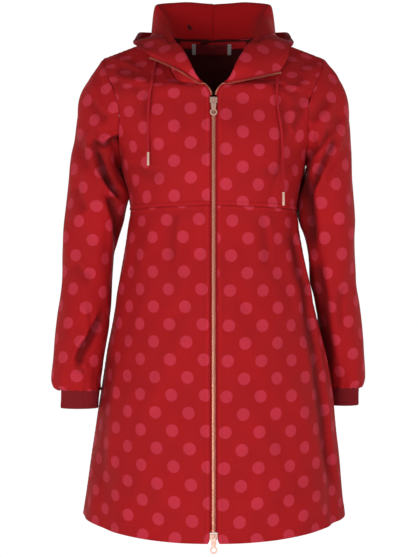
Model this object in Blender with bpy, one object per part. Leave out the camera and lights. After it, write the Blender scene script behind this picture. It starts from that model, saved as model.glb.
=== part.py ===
"""A long hooded softshell jacket, filled out and unworn, built as its cut pieces.

Metres, +Z up. The wearer would face -Y, and the wearer's left is +X. The origin is the middle of the neck at
shoulder height, where a wearer carries the jacket. Side +1 is the wearer's left, side -1 the wearer's right.
"""

import math

import bmesh
import bpy
import numpy as np
from mathutils.bvhtree import BVHTree
from mathutils.geometry import tessellate_polygon

SIDES = {"right": -1, "left": 1}

# Cloth and seams
CLOTH = 0.0020  # bonded softshell, one layer
HOOD_CLOTH = 0.0012  # hood shell
LINING = 0.0010  # hood lining and facing
HOOD_GAP = 0.0014  # between the hood's shell and lining
SEAM_GAP = 0.0003  # between two sewn pieces
ARMHOLE_GAP = 0.0008  # wider, for the sharp turn under the arm
SEAM_RIDGE = 0.0010  # how far the topstitched empire seam stands proud
SEAM_RIDGE_WIDTH = 0.0065
MITRE_LIMIT = 0.75  # keeps the inner edge of a sharp seam within 4/3 of the cloth

# Zip
ZIP_OPENING = 0.0065  # from the zip's middle to a front edge
TAPE_HALF_WIDTH = 0.0140
TAPE_CLOTH = 0.0008
CHAIN_HALF_WIDTH = 0.0030
CHAIN_DEPTH = 0.0029
ZIP_TOP = -0.1131  # height of the closed chain's top
ZIP_BOTTOM = -0.8560

# Rows of the bodice, from the front of the empire seam over the shoulder to its back. "inner" is the edge at the
# zip, neckline or centre back, "outer" the edge at the side seam or armhole, and "turn" the arc between them.
# Columns: inner x, y, z, outer x, y, z, turn in degrees.
BODICE = (
    ("front empire seam", 0.0065, -0.1210, -0.2910, 0.1500, 0.0000, -0.2970, 90),
    ("front under bust", 0.0065, -0.1300, -0.2540, 0.1570, 0.0000, -0.2560, 90),
    ("front underarm", 0.0065, -0.1365, -0.2080, 0.1680, 0.0020, -0.2130, 90),
    ("front armhole, low", 0.0065, -0.1340, -0.1650, 0.1705, -0.0480, -0.1700, 62),
    ("front armhole, middle", 0.0065, -0.1265, -0.1300, 0.1685, -0.0640, -0.1320, 50),
    ("zip top", 0.0065, -0.1195, -0.1040, 0.1710, -0.0635, -0.1080, 47),
    ("front neck", 0.0150, -0.1145, -0.0815, 0.1770, -0.0580, -0.0880, 44),
    ("front neck curve", 0.0620, -0.0940, -0.0710, 0.1875, -0.0440, -0.0620, 36),
    ("front neck side", 0.0800, -0.0500, -0.0280, 0.1970, -0.0200, -0.0360, 26),
    ("shoulder seam", 0.0830, 0.0000, 0.0240, 0.2000, 0.0050, -0.0200, 20),
    ("back neck side", 0.0770, 0.0320, 0.0250, 0.1985, 0.0240, -0.0300, 26),
    ("back neck curve", 0.0500, 0.0610, 0.0245, 0.1950, 0.0420, -0.0460, 34),
    ("back neck", 0.0000, 0.0720, 0.0240, 0.1880, 0.0580, -0.0680, 42),
    ("back armhole, high", 0.0000, 0.1060, -0.0350, 0.1790, 0.0690, -0.0980, 46),
    ("back armhole, middle", 0.0000, 0.1190, -0.1000, 0.1730, 0.0680, -0.1350, 50),
    ("back armhole, low", 0.0000, 0.1215, -0.1600, 0.1715, 0.0500, -0.1740, 62),
    ("back underarm", 0.0000, 0.1190, -0.2080, 0.1680, 0.0020, -0.2130, 90),
    ("back under bust", 0.0000, 0.1130, -0.2540, 0.1570, 0.0000, -0.2560, 90),
    ("back empire seam", 0.0000, 0.1080, -0.2910, 0.1500, 0.0000, -0.2970, 90),
)
FRONT_UNDERARM, ZIP_HEAD, FRONT_NECK, SHOULDER, BACK_NECK, BACK_UNDERARM = 2, 5, 6, 9, 12, 16
LAST_ROW = len(BODICE) - 1

# Rows of the skirt, from the empire seam to the hem.
# Columns: height at the front, side and back, half width on the right and left, depth in front and behind.
SKIRT = (
    ("empire seam", -0.2910, -0.2970, -0.2910, 0.1500, 0.1500, 0.1210, 0.1080),
    ("waist", -0.3490, -0.3490, -0.3490, 0.1580, 0.1585, 0.1230, 0.1100),
    ("high hip", -0.4220, -0.4220, -0.4220, 0.1705, 0.1715, 0.1320, 0.1250),
    ("hip", -0.4900, -0.4900, -0.4900, 0.1815, 0.1875, 0.1420, 0.1400),
    ("low hip", -0.5680, -0.5680, -0.5680, 0.1957, 0.2065, 0.1530, 0.1520),
    ("thigh", -0.6550, -0.6550, -0.6560, 0.2088, 0.2195, 0.1660, 0.1640),
    ("above hem", -0.7620, -0.7550, -0.7670, 0.2235, 0.2285, 0.1800, 0.1780),
    ("hem", -0.8745, -0.8450, -0.8850, 0.2364, 0.2377, 0.1920, 0.1900),
)
HEM_CURVE = 1.3  # how sharply the hem rises to the side
CORNER_HEIGHT = 0.011  # the front edges swing away from the zip over this height
CORNER_SWING = 0.0035

# Rings of each sleeve below the underarm. Columns: height, centre x and y, half width, half depth.
SLEEVES = {
    "right": (
        ("upper arm", -0.2760, 0.2105, 0.0020, 0.0558, 0.0600),
        ("above elbow", -0.3110, 0.2163, 0.0000, 0.0540, 0.0570),
        ("elbow, upper", -0.3500, 0.2240, -0.0020, 0.0493, 0.0540),
        ("elbow", -0.3860, 0.2280, -0.0050, 0.0462, 0.0520),
        ("elbow, lower", -0.4220, 0.2290, -0.0080, 0.0454, 0.0500),
        ("forearm", -0.4850, 0.2338, -0.0160, 0.0472, 0.0490),
        ("lower forearm", -0.5330, 0.2405, -0.0230, 0.0473, 0.0480),
        ("wrist, upper", -0.5730, 0.2442, -0.0280, 0.0460, 0.0460),
        ("wrist", -0.6030, 0.2465, -0.0310, 0.0445, 0.0440),
        ("blouse", -0.6150, 0.2450, -0.0320, 0.0425, 0.0420),
        ("tuck", -0.6205, 0.2395, -0.0320, 0.0392, 0.0385),
        ("cuff seam", -0.6180, 0.2395, -0.0320, 0.0358, 0.0350),
    ),
    "left": (
        ("upper arm", -0.2760, 0.2050, 0.0020, 0.0502, 0.0600),
        ("above elbow", -0.3110, 0.2072, 0.0000, 0.0505, 0.0570),
        ("elbow, upper", -0.3500, 0.2125, 0.0000, 0.0455, 0.0540),
        ("elbow", -0.3860, 0.2160, 0.0030, 0.0422, 0.0520),
        ("elbow, lower", -0.4220, 0.2168, 0.0080, 0.0418, 0.0500),
        ("forearm", -0.4660, 0.2258, 0.0180, 0.0408, 0.0500),
        ("lower forearm", -0.5190, 0.2345, 0.0300, 0.0402, 0.0490),
        ("wrist, upper", -0.5590, 0.2402, 0.0370, 0.0382, 0.0480),
        ("wrist", -0.6030, 0.2458, 0.0440, 0.0345, 0.0450),
        ("blouse", -0.6150, 0.2445, 0.0460, 0.0325, 0.0430),
        ("tuck", -0.6205, 0.2412, 0.0470, 0.0320, 0.0400),
        ("cuff seam", -0.6180, 0.2412, 0.0470, 0.0285, 0.0365),
    ),
}
CUFFS = {  # centre_x, centre_y, half_width, half_depth at the cuff's open end
    "right": (0.2415, -0.0325, 0.0337, 0.0310),
    "left": (0.2405, 0.0475, 0.0275, 0.0340),
}
CUFF_LENGTH = 0.0360
CUFF_CLOTH = 0.0022
CUFF_TUCKED = 0.0010  # how far inside the sleeve's end the cuff starts
CUFF_RIBS_PER_POINT = 2  # rib and furrow between two sleeve columns
RIB_HEIGHT = 0.0007

# Stations round the hood, from the zip edge to the centre back. Columns: how far along the neck seam, x, y, z of the
# roll line, of the fall or pouch and of the free edge, and the facing's seam between the neck seam (0) and the edge (1).
HOOD_BACK = (
    (0.55, 0.0850, 0.0080, 0.0400, 0.1170, 0.0150, 0.0200, 0.1470, 0.0350, 0.0150, 0.45),
    (0.70, 0.0970, 0.0560, 0.0670, 0.1300, 0.0800, -0.0150, 0.1430, 0.0920, 0.0340, 0.66),
    (0.82, 0.1070, 0.0840, 0.0880, 0.1320, 0.1300, -0.1150, 0.1360, 0.1400, 0.0480, 0.84),
    (0.92, 0.0600, 0.1020, 0.0950, 0.0780, 0.1450, -0.1920, 0.0800, 0.1720, 0.0500, 0.91),
    (1.00, 0.0000, 0.1060, 0.0920, 0.0000, 0.1460, -0.2160, 0.0000, 0.1800, 0.0470, 0.92),
)
HOOD = {
    "right": (
        (0.00, 0.0270, -0.1160, -0.0720, 0.0700, -0.1040, -0.0450, 0.1123, -0.0690, -0.0230, 0.60),
        (0.12, 0.0400, -0.1135, -0.0530, 0.0750, -0.0990, -0.0370, 0.1210, -0.0600, -0.0150, 0.56),
        (0.22, 0.0512, -0.1005, -0.0310, 0.0810, -0.0900, -0.0270, 0.1300, -0.0470, -0.0070, 0.48),
        (0.32, 0.0610, -0.0800, -0.0110, 0.0890, -0.0720, -0.0110, 0.1385, -0.0280, 0.0010, 0.40),
        (0.42, 0.0745, -0.0470, 0.0085, 0.1020, -0.0330, 0.0120, 0.1460, 0.0020, 0.0090, 0.34),
    ) + HOOD_BACK,
    "left": (
        (0.00, 0.0270, -0.1160, -0.0735, 0.0720, -0.1080, -0.0635, 0.1185, -0.0750, -0.0500, 0.60),
        (0.12, 0.0400, -0.1135, -0.0530, 0.0780, -0.1020, -0.0500, 0.1270, -0.0640, -0.0360, 0.56),
        (0.22, 0.0500, -0.1015, -0.0310, 0.0850, -0.0920, -0.0350, 0.1340, -0.0500, -0.0200, 0.48),
        (0.32, 0.0620, -0.0800, -0.0100, 0.0910, -0.0740, -0.0150, 0.1385, -0.0300, -0.0040, 0.40),
        (0.42, 0.0750, -0.0470, 0.0095, 0.1020, -0.0330, 0.0120, 0.1460, 0.0020, 0.0080, 0.34),
    ) + HOOD_BACK,
}
ROLL_FULLNESS = 1.3  # how roundly a short stand rolls over
STAND_RISE, STAND_LEAN = 0.3, 0.3
ROLL_AT, FALL_AT = 0.2, 0.6  # where the roll and the fall lie between the neck seam (0) and the free edge (1)
FACING_STATION = 3.5  # forward of this station the facing covers the whole lapel
LAPEL_TAPE = 0.0062  # how far the open zip tape stands past a lapel's edge
LAPEL_TEETH = 0.0026
LAPEL_START = 0.2  # rows above the zip's head where the open strands start
NECK_SHELL_SHARE = 0.55  # of the neck seam's thickness, the rest is the lining's
NECK_GAP = 0.0006  # from the bodice to the hood, wider for the seam's sharp turn
STAND_STEPS = (0, 0.34, 0.62, 0.83, 1)  # rows from the neck seam to the roll
POUCH_STEPS = (0.07, 0.18, 0.34, 0.47, 0.56, 0.65, 0.80, 1)  # rows from the roll to the facing's seam
FACING_STEPS = (0.33, 0.67, 1)  # rows from there to the free edge
FACING_ROW = 12

# Drawcords: places down the chest, x on the wearer's left, and each metal tip's top
CORD_RADIUS = 0.0023
CORD_LIFT = 0.0008
CORDS = {
    "right": ((0.1030, -0.0330), (0.1060, -0.0500), (0.1091, -0.0754), (0.1130, -0.0980), (0.1149, -0.1437),
              (0.1149, -0.1970)),
    "left": ((0.1142, -0.0650), (0.1126, -0.0760), (0.1112, -0.0930), (0.1150, -0.1300), (0.1196, -0.1594),
             (0.1214, -0.1945), (0.1223, -0.2680)),
}
TIP_LENGTH = 0.0240
TIP_RADIUS = 0.0025
TIP_GAP = 0.0006
CORD_POINTS = 18

# Neck label and facing, on the inside of the back
NECK_FACING_HALF, NECK_FACING_TOP, NECK_FACING_DEPTH = 0.062, 0.0190, 0.0120
FACING_CLOTH = 0.0008
NECK_LIFT = 0.0005
LABEL_MIDDLE, LABEL_HALF, LABEL_TOP, LABEL_DEPTH = -0.003, 0.0365, 0.0150, 0.0185
LABEL_CLOTH = 0.0006

# Slider and pull tab, in the slider's own frame: x across, depth forward of its plate, height up it
PLATE_HALF_WIDTH, PLATE_HALF_HEIGHT, PLATE_DEPTH = 0.00645, 0.0051, 0.0016
CORE_HALF_WIDTH, CORE_DEPTH = 0.0040, 0.0024
BAIL_HALF_WIDTH = 0.0012
BAIL_TOP, BAIL_FOOT, BAIL_LEG = 0.0042, -0.0039, 0.0014
BAIL_INSIDE, BAIL_OUTSIDE = 0.00245, 0.00365
PLATE_STANDS = 0.0020  # from the fronts' face to the plate's
AXIS_DEPTH, AXIS_HEIGHT = 0.0012, -0.00155
TAB_HALF_DEPTH = 0.00065
TAB_HALF_WIDTH, TAB_NECK = 0.0045, 0.0165
RING_RADIUS, RING_HOLE, RING_AT = 0.0065, 0.0038, 0.0215
WINDOW_HALF_WIDTH, WINDOW_LENGTH = 0.0016, 0.0045
TOP_SLIDER_Z, BOTTOM_SLIDER_Z = -0.1073, -0.8620

# How finely the solids are cut
ACROSS = (0, 0.1, 0.2, 0.3, 0.4, 0.5, 0.6, 0.67, 0.74, 0.81, 0.9, 1)  # columns from the middle to the side
BODICE_ROWS = {  # rows of the bodice between named sections
    "side": 3, "armhole": 3, "zip_head": 2, "neck": 6, "back_armhole": 5,
}
SKIRT_ROWS = 10
HEAD_ROWS = 6  # rows of a sleeve's head
RINGS_PER_ROW = 2

# Folds. On the skirt: side, face, place at the waist and at the hem (0 middle, 1 side seam), half width, depth.
SKIRT_FOLDS = (
    ("left", -1, 0.74, 0.72, 0.055, -0.0060),
    ("left", -1, 0.88, 0.88, 0.060, 0.0030),
    ("right", -1, 0.66, 0.62, 0.080, -0.0030),
    ("right", 1, 0.40, 0.42, 0.110, -0.0060),
    ("right", 1, 0.66, 0.68, 0.100, 0.0040),
    ("left", 1, 0.30, 0.34, 0.120, -0.0050),
    ("left", 1, 0.62, 0.60, 0.090, -0.0060),
)
# On a sleeve: angle and height where a fold starts and ends, half width, depth. 0 degrees is outward, 90 in front.
# The fullness over the shoulder is given from both sides of 0, once as 5 degrees and once as 365.
SLEEVE_FOLDS = {
    "right": (
        (5, -0.060, 5, -0.125, 0.0280, 0.0065),
        (365, -0.060, 365, -0.125, 0.0280, 0.0065),
        (15, -0.168, 150, -0.277, 0.0110, -0.0060),
        (112, -0.264, 142, -0.322, 0.0090, -0.0040),
        (143, -0.473, 88, -0.566, 0.0100, -0.0050),
        (200, -0.300, 330, -0.352, 0.0130, -0.0050),
        (190, -0.372, 300, -0.410, 0.0120, -0.0040),
        (210, -0.214, 210, -0.252, 0.0150, 0.0145),
    ),
    "left": (
        (5, -0.060, 5, -0.135, 0.0280, 0.0085),
        (365, -0.060, 365, -0.135, 0.0280, 0.0085),
        (30, -0.176, 150, -0.262, 0.0110, -0.0050),
        (128, -0.380, 128, -0.590, 0.0110, -0.0040),
        (205, -0.310, 320, -0.362, 0.0130, -0.0050),
        (200, -0.400, 310, -0.442, 0.0120, -0.0040),
        (210, -0.213, 206, -0.322, 0.0155, 0.0155),
    ),
}
SLEEVE_RADIUS = 0.050  # turns a fold's angle into a distance

COLOURS = {
    "cloth": (0.43, 0.012, 0.020), "rib": (0.25, 0.013, 0.023), "lining": (0.36, 0.010, 0.015),
    "metal": (0.80, 0.55, 0.45), "chain": (0.62, 0.28, 0.20), "tape": (0.38, 0.012, 0.018),
    "cord": (0.40, 0.018, 0.030), "label": (0.75, 0.70, 0.68),
}


# Curves and surfaces --------------------------------------------------------------------------------------------

def hermite(start, end, start_slope, end_slope, t):
    """A cubic from start to end that leaves and arrives along the two slopes."""
    t2 = t * t
    t3 = t2 * t
    return (
        (2 * t3 - 3 * t2 + 1) * start
        + (t3 - 2 * t2 + t) * start_slope
        + (3 * t2 - 2 * t3) * end
        + (t3 - t2) * end_slope
    )


def smooth(keys, values, at):
    """A curve through the rows of a table that never overshoots between two rows."""
    keys = np.asarray(keys, float)
    values = np.asarray(values, float)
    steps = np.diff(keys)
    rise = np.diff(values, axis=0) / steps[:, None]
    slopes = np.zeros_like(values)
    slopes[0] = rise[0]
    slopes[-1] = rise[-1]
    same_way = rise[:-1] * rise[1:] > 0
    total = np.where(same_way, rise[:-1] + rise[1:], 1.0)
    slopes[1:-1] = np.where(same_way, 2 * rise[:-1] * rise[1:] / total, 0.0)
    at = np.clip(np.asarray(at, float), keys[0], keys[-1])
    cell = np.clip(np.searchsorted(keys, at, side="right") - 1, 0, len(steps) - 1)
    step = steps[cell][..., None]
    t = (at - keys[cell])[..., None] / step
    return hermite(values[cell], values[cell + 1], slopes[cell] * step, slopes[cell + 1] * step, t)


def unit(vectors):
    return vectors / np.maximum(np.linalg.norm(vectors, axis=-1, keepdims=True), 1e-12)


def columns_of(table):
    return np.array([row[1:] for row in table], float)


BODICE_VALUES = columns_of(BODICE)
SKIRT_VALUES = columns_of(SKIRT)


def bodice_point(side, s, v):
    """The bodice's outer face: s runs from the inner edge to the outer, v along BODICE's rows."""
    s, v = np.broadcast_arrays(np.asarray(s, float), np.asarray(v, float))
    row = smooth(range(len(BODICE)), BODICE_VALUES, v)
    turn = np.radians(row[..., 6])
    across = np.sin(s * turn) / np.sin(turn)
    depth = (np.cos(s * turn) - np.cos(turn)) / (1 - np.cos(turn))
    x = row[..., 0] + (row[..., 3] - row[..., 0]) * across
    y = row[..., 4] + (row[..., 1] - row[..., 4]) * depth
    z = row[..., 2] + (row[..., 5] - row[..., 2]) * s
    return np.stack([side * x, y, z], axis=-1)


def skirt_point(side, face, s, v):
    """The skirt's outer face: face -1 is the front, +1 the back; v runs along SKIRT's rows."""
    s, v = np.broadcast_arrays(np.asarray(s, float), np.asarray(v, float))
    row = smooth(range(len(SKIRT)), SKIRT_VALUES, v)
    middle_z = row[..., 0] if face < 0 else row[..., 2]
    half = row[..., 4] if side > 0 else row[..., 3]
    depth = row[..., 5] if face < 0 else row[..., 6]
    down = v / (len(SKIRT) - 1)
    cosine = np.cos(s * math.pi / 2).clip(0, 1)
    z = row[..., 1] + (middle_z - row[..., 1]) * ((1 - down) * (1 - s) + down * cosine ** HEM_CURVE)
    edge = 0.0
    if face < 0:
        hem_z = SKIRT_VALUES[-1][0]
        corner = np.clip((hem_z + CORNER_HEIGHT - middle_z) / CORNER_HEIGHT, 0, 1)
        edge = ZIP_OPENING + CORNER_SWING * corner ** 2
    x = edge + (half - edge) * np.sin(s * math.pi / 2)
    fold = skirt_fold(side, face, s, down)
    x = x + fold * np.sin(s * math.pi / 2)
    y = face * (depth + fold) * cosine
    return np.stack([side * x, y, z], axis=-1)


def skirt_fold(side, face, s, down):
    """How far the folds move the skirt outward. They grow to the hem and fade out at the zip and side seam."""
    moved = np.zeros_like(s)
    for name, fold_face, at_waist, at_hem, half_width, depth in SKIRT_FOLDS:
        if SIDES[name] == side and fold_face == face:
            away = (s - at_waist - (at_hem - at_waist) * down) / half_width
            moved = moved + depth * np.exp(-away ** 2)
    fade = np.clip((1 - s) / 0.12, 0, 1) * np.clip(s / 0.12, 0, 1)
    return moved * fade * np.sqrt(np.clip(down, 0, 1))


def normals_of(surface, s, v, s_span, v_span, sign):
    """Unit normals of surface(s, v) by differences kept inside its spans."""
    step = 1e-3
    s, v = np.broadcast_arrays(np.asarray(s, float), np.asarray(v, float))
    along_s = surface(np.minimum(s + step, s_span[1]), v) - surface(np.maximum(s - step, s_span[0]), v)
    along_v = surface(s, np.minimum(v + step, v_span[1])) - surface(s, np.maximum(v - step, v_span[0]))
    return sign * unit(np.cross(along_s, along_v))


# Solids ---------------------------------------------------------------------------------------------------------

def material(name):
    made = bpy.data.materials.get(name)
    if made is None:
        made = bpy.data.materials.new(name)
        made.use_nodes = True
        shader = made.node_tree.nodes["Principled BSDF"]
        shader.inputs["Base Color"].default_value = (*COLOURS[name], 1)
        metal = name in ("metal", "chain")
        shader.inputs["Metallic"].default_value = 1.0 if metal else 0.0
        shader.inputs["Roughness"].default_value = 0.3 if metal else 0.8
    return made


def add_mesh(name, points, faces, slot):
    mesh = bpy.data.meshes.new(name)
    mesh.from_pydata([tuple(p) for p in points], [], faces)
    shape = bmesh.new()
    shape.from_mesh(mesh)
    bmesh.ops.recalc_face_normals(shape, faces=shape.faces)
    shape.to_mesh(mesh)
    shape.free()
    mesh.materials.append(material(slot))
    mesh.shade_smooth()
    mesh.set_sharp_from_angle(angle=math.radians(40))
    piece = bpy.data.objects.new(name, mesh)
    bpy.context.collection.objects.link(piece)
    return piece


def add_wall(name, slot, outer, inner, keep=None, closed=False, mirror_from=None):
    """A closed solid between two grids of points, with points that meet welded into one.

    Columns from mirror_from on are cut along their other diagonal, so that both halves of a back match.
    """
    rows, columns = outer.shape[:2]
    index, front, back = {}, [], []
    number = np.zeros((rows, columns), int)
    for r in range(rows):
        for c in range(columns):
            key = tuple(np.round(outer[r, c], 6))
            if key not in index:
                index[key] = len(front)
                front.append(outer[r, c])
                back.append(inner[r, c])
            number[r, c] = index[key]
    triangles = []
    for r in range(rows - 1):
        for c in range(columns if closed else columns - 1):
            if keep is not None and not keep[r][c]:
                continue
            after = (c + 1) % columns
            a, b, d, e = (int(number[k]) for k in ((r, c), (r, after), (r + 1, after), (r + 1, c)))
            if mirror_from is not None and c >= mirror_from:
                triangles += [[a, b, e], [b, d, e]]
            else:
                triangles += [[a, b, d], [a, d, e]]
    triangles = [corners for corners in triangles if len(set(corners)) == 3]
    count = len(front)
    edges = {}
    for corners in triangles:
        for a, b in zip(corners, corners[1:] + corners[:1]):
            if (b, a) in edges:
                del edges[(b, a)]
            else:
                edges[(a, b)] = True
    faces = triangles + [[i + count for i in corners[::-1]] for corners in triangles]
    for a, b in edges:
        faces += [[b, a, a + count], [b, a + count, b + count]]
    used = sorted({i for face in faces for i in face})
    renumber = {old: new for new, old in enumerate(used)}
    points = front + back
    return add_mesh(name, [points[i] for i in used], [[renumber[i] for i in face] for face in faces], slot)


def mitre(points, normal, other, thickness):
    """Inner points of a seam where two walls meet at an angle, midway between the walls' two directions."""
    middle = unit(normal + other)
    reach = thickness / np.maximum((middle * normal).sum(axis=-1, keepdims=True), MITRE_LIMIT)
    return points - middle * reach


def part_edges(grids, first_row=0.0, last_row=0.0, first_column=0.0, last_column=0.0):
    """Draws a grid's sewn edges back by half of a seam's gap, the same way on every layer."""
    done = []
    for grid in grids:
        grid = grid.copy()
        grid[0] += unit(grid[1] - grid[0]) * first_row
        grid[-1] += unit(grid[-2] - grid[-1]) * last_row
        grid[:, 0] += unit(grid[:, 1] - grid[:, 0]) * first_column
        grid[:, -1] += unit(grid[:, -2] - grid[:, -1]) * last_column
        done.append(grid)
    return done


def add_sweep(name, slot, path, across, up, profile):
    """A solid swept along path: profile holds (across, up) pairs, turning from across towards up."""
    rings = [[p + a * w + b * h for w, h in profile] for p, a, b in zip(path, across, up)]
    size = len(profile)
    points = [point for ring in rings for point in ring]
    faces = []
    for r in range(len(rings) - 1):
        for c in range(size):
            after = (c + 1) % size
            faces.append([r * size + c, r * size + after, (r + 1) * size + after, (r + 1) * size + c])
    faces.append(list(range(size))[::-1])
    faces.append([(len(rings) - 1) * size + c for c in range(size)])
    return add_mesh(name, points, faces, slot)


# Bodice and skirt -----------------------------------------------------------------------------------------------

def bodice_rows():
    """Row positions from the front empire seam to the back one, the same count on both sides of a shared seam."""
    spans = (
        (0, FRONT_UNDERARM, BODICE_ROWS["side"]),
        (FRONT_UNDERARM, ZIP_HEAD, BODICE_ROWS["armhole"]),
        (ZIP_HEAD, FRONT_NECK, BODICE_ROWS["zip_head"]),
        (FRONT_NECK, SHOULDER, BODICE_ROWS["neck"]),
        (SHOULDER, BACK_NECK, BODICE_ROWS["neck"]),
        (BACK_NECK, BACK_UNDERARM, BODICE_ROWS["back_armhole"]),
        (BACK_UNDERARM, LAST_ROW, BODICE_ROWS["side"]),
    )
    rows = [0.0]
    for start, end, count in spans:
        rows += list(np.linspace(start, end, count + 1)[1:])
    return np.array(rows)


def bodice_layers(side, rows, across):
    """Outer points, inner points and normals of one side of the bodice."""
    s, v = np.meshgrid(across, rows)

    def surface(a, b):
        return bodice_point(side, a, b)

    outer = surface(s, v)
    normal = normals_of(surface, s, v, (0, 1), (0, LAST_ROW), side)
    centre_back = (s == 0) & (v >= BACK_NECK)
    normal[centre_back, 0] = 0
    normal = unit(normal)
    return outer, outer - normal * CLOTH, normal


def row_at(rows, place):
    return int(np.argmin(abs(rows - place)))


def add_bodice(bodice, rows):
    half = SEAM_GAP / 2
    shoulder = row_at(rows, SHOULDER)
    neck = row_at(rows, BACK_NECK) - shoulder
    backs = {}
    for name in SIDES:
        outer, inner, normal = bodice[name]
        raised = outer.copy()
        for edge, near in ((0, 1), (-1, -2)):
            reach = np.linalg.norm(raised[near] - raised[edge], axis=-1, keepdims=True)
            raised[edge] += normal[edge] * SEAM_RIDGE * np.clip(SEAM_RIDGE_WIDTH / reach, 0, 1)
        front = part_edges((raised[:shoulder + 1], inner[:shoulder + 1]), half, half, half, half)
        add_wall("front_bodice_" + name, "cloth", *front)
        back = part_edges((raised[shoulder:], inner[shoulder:]), half, half, half, half)
        for layer in back:
            layer[neck:, 0, 0] = 0
            layer[neck, 0] += unit(layer[neck + 1, 0] - layer[neck, 0]) * half
        backs[name] = back
    grids = [np.concatenate([backs["right"][k][:, ::-1], backs["left"][k]], axis=1) for k in (0, 1)]
    middle = grids[0].shape[1] // 2
    keep = np.ones((grids[0].shape[0] - 1, grids[0].shape[1] - 1), bool)
    keep[:, middle - 1] = False
    add_wall("back_bodice", "cloth", *grids, keep=keep, mirror_from=middle)


def skirt_layers(side, face, rows, across):
    s, v = np.meshgrid(across, rows)

    def surface(a, b):
        return skirt_point(side, face, a, b)

    outer = surface(s, v)
    normal = normals_of(surface, s, v, (0, 1), (0, len(SKIRT) - 1), side * face)
    if face > 0:
        normal[s == 0, 0] = 0
        normal = unit(normal)
    return outer, outer - normal * CLOTH


def add_skirt(bodice, across):
    half = SEAM_GAP / 2
    rows = np.linspace(0, len(SKIRT) - 1, SKIRT_ROWS + 1)
    backs = {}
    for name, side in SIDES.items():
        for face in (-1, 1):
            outer, inner = skirt_layers(side, face, rows, across)
            seam = 0 if face < 0 else -1
            outer[0] = bodice[name][0][seam]
            inner[0] = bodice[name][1][seam]
            if face < 0:
                front = part_edges((outer, inner), half, 0, 0, half)
                add_wall("front_skirt_" + name, "cloth", *front)
            else:
                backs[name] = (outer, inner)
    grids = [np.concatenate([backs["right"][k][:, :0:-1], backs["left"][k]], axis=1) for k in (0, 1)]
    grids = part_edges(grids, half, 0, half, half)
    add_wall("back_skirt", "cloth", *grids)


# Sleeves and cuffs ----------------------------------------------------------------------------------------------

def armhole_rows(rows):
    """Rows of the bodice round the armhole: down the front from the shoulder, under the arm and up the back."""
    first, top, last = (row_at(rows, place) for place in (FRONT_UNDERARM, SHOULDER, BACK_UNDERARM))
    return list(range(top, first - 1, -1)) + list(range(last - 1, top, -1)), top - first


def ring_angles(loop, underarm):
    """An angle for each armhole point: 0 at the shoulder, 90 at the front, 180 under the arm."""
    steps = np.linalg.norm(np.roll(loop, -1, axis=0) - loop, axis=1)
    run = np.concatenate([[0], np.cumsum(steps)])
    angles = np.empty(len(loop))
    angles[:underarm + 1] = math.pi * run[:underarm + 1] / run[underarm]
    rest = run[underarm:len(loop)] - run[underarm]
    angles[underarm:] = math.pi * (1 + rest / (run[-1] - run[underarm]))
    return angles


def ring(side, angles, centre_x, centre_y, z, half_width, half_depth):
    x = centre_x + half_width * np.cos(angles)
    y = centre_y - half_depth * np.sin(angles)
    return np.stack([side * x, y, np.full_like(x, z)], axis=-1)


def sleeve_grid(name, loop, angles):
    """Outer points of a sleeve: its head from the armhole to the first ring, then the rings."""
    side = SIDES[name]
    table = columns_of(SLEEVES[name])
    first = ring(side, angles, table[0, 1], table[0, 2], table[0, 0], table[0, 3], table[0, 4])
    top = np.cos(angles)[:, None]
    out = np.array([side, 0.0, 0.0])
    down = np.array([0.0, 0.0, -1.0])
    leave = unit(out * (0.80 - 0.12 * top) + down * (0.59 + 0.13 * top))
    span = np.linalg.norm(first - loop, axis=1, keepdims=True)
    second = ring(side, angles, table[1, 1], table[1, 2], table[1, 0], table[1, 3], table[1, 4])
    arrive = unit(second - first)
    rows = []
    for t in np.linspace(0, 1, HEAD_ROWS + 1)[:-1]:
        rows.append(hermite(loop, first, leave * span * 0.85, arrive * span * 0.9, t))
    steps = np.linspace(0, len(table) - 1, (len(table) - 1) * RINGS_PER_ROW + 1)
    for row in smooth(range(len(table)), table, steps):
        rows.append(ring(side, angles, row[1], row[2], row[0], row[3], row[4]))
    grid = np.array(rows)
    folds = sleeve_fold(name, angles, grid[..., 2])
    return grid + grid_normals(grid, side) * folds[..., None]


def sleeve_fold(name, angles, heights):
    """How far the folds move a sleeve's points outward, by their distance from each fold's line."""
    place = np.broadcast_to(angles, heights.shape)
    moved = np.zeros_like(heights)
    for angle, height, end_angle, end_height, half_width, depth in SLEEVE_FOLDS[name]:
        start = np.array([math.radians(angle) * SLEEVE_RADIUS, height])
        line = np.array([math.radians(end_angle) * SLEEVE_RADIUS, end_height]) - start
        away = np.stack([place * SLEEVE_RADIUS, heights], axis=-1) - start
        along = np.clip((away @ line) / (line @ line), 0, 1)
        distance = np.linalg.norm(away - along[..., None] * line, axis=-1)
        moved += depth * np.exp(-(distance / half_width) ** 2) * (0.4 + 0.6 * np.sin(math.pi * along))
    moved[0] = 0
    return moved


def grid_normals(grid, sign):
    """Unit normals of a grid whose columns run round a tube."""
    along = np.roll(grid, -1, axis=1) - np.roll(grid, 1, axis=1)
    down = np.empty_like(grid)
    down[1:-1] = grid[2:] - grid[:-2]
    down[0] = grid[1] - grid[0]
    down[-1] = grid[-1] - grid[-2]
    return sign * unit(np.cross(along, down))


def sleeve_layers(name, bodice, rows):
    """Sleeve grids of one side. The bodice's inner armhole edge is mitred to the sleeve's."""
    outer_grid, inner_grid, bodice_normal = bodice
    loop, underarm = armhole_rows(rows)
    angles = ring_angles(outer_grid[loop, -1], underarm)
    outer = sleeve_grid(name, outer_grid[loop, -1], angles)
    normal = grid_normals(outer, SIDES[name])
    inner = outer - normal * CLOTH
    inner[0] = mitre(outer[0], bodice_normal[loop, -1], normal[0], CLOTH)
    inner_grid[loop, -1] = inner[0]
    inner_grid[row_at(rows, BACK_UNDERARM), -1] = inner[0, underarm]
    inner[-1] = outer[-1] + np.array([0, 0, CLOTH])
    return outer, inner, angles


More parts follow.
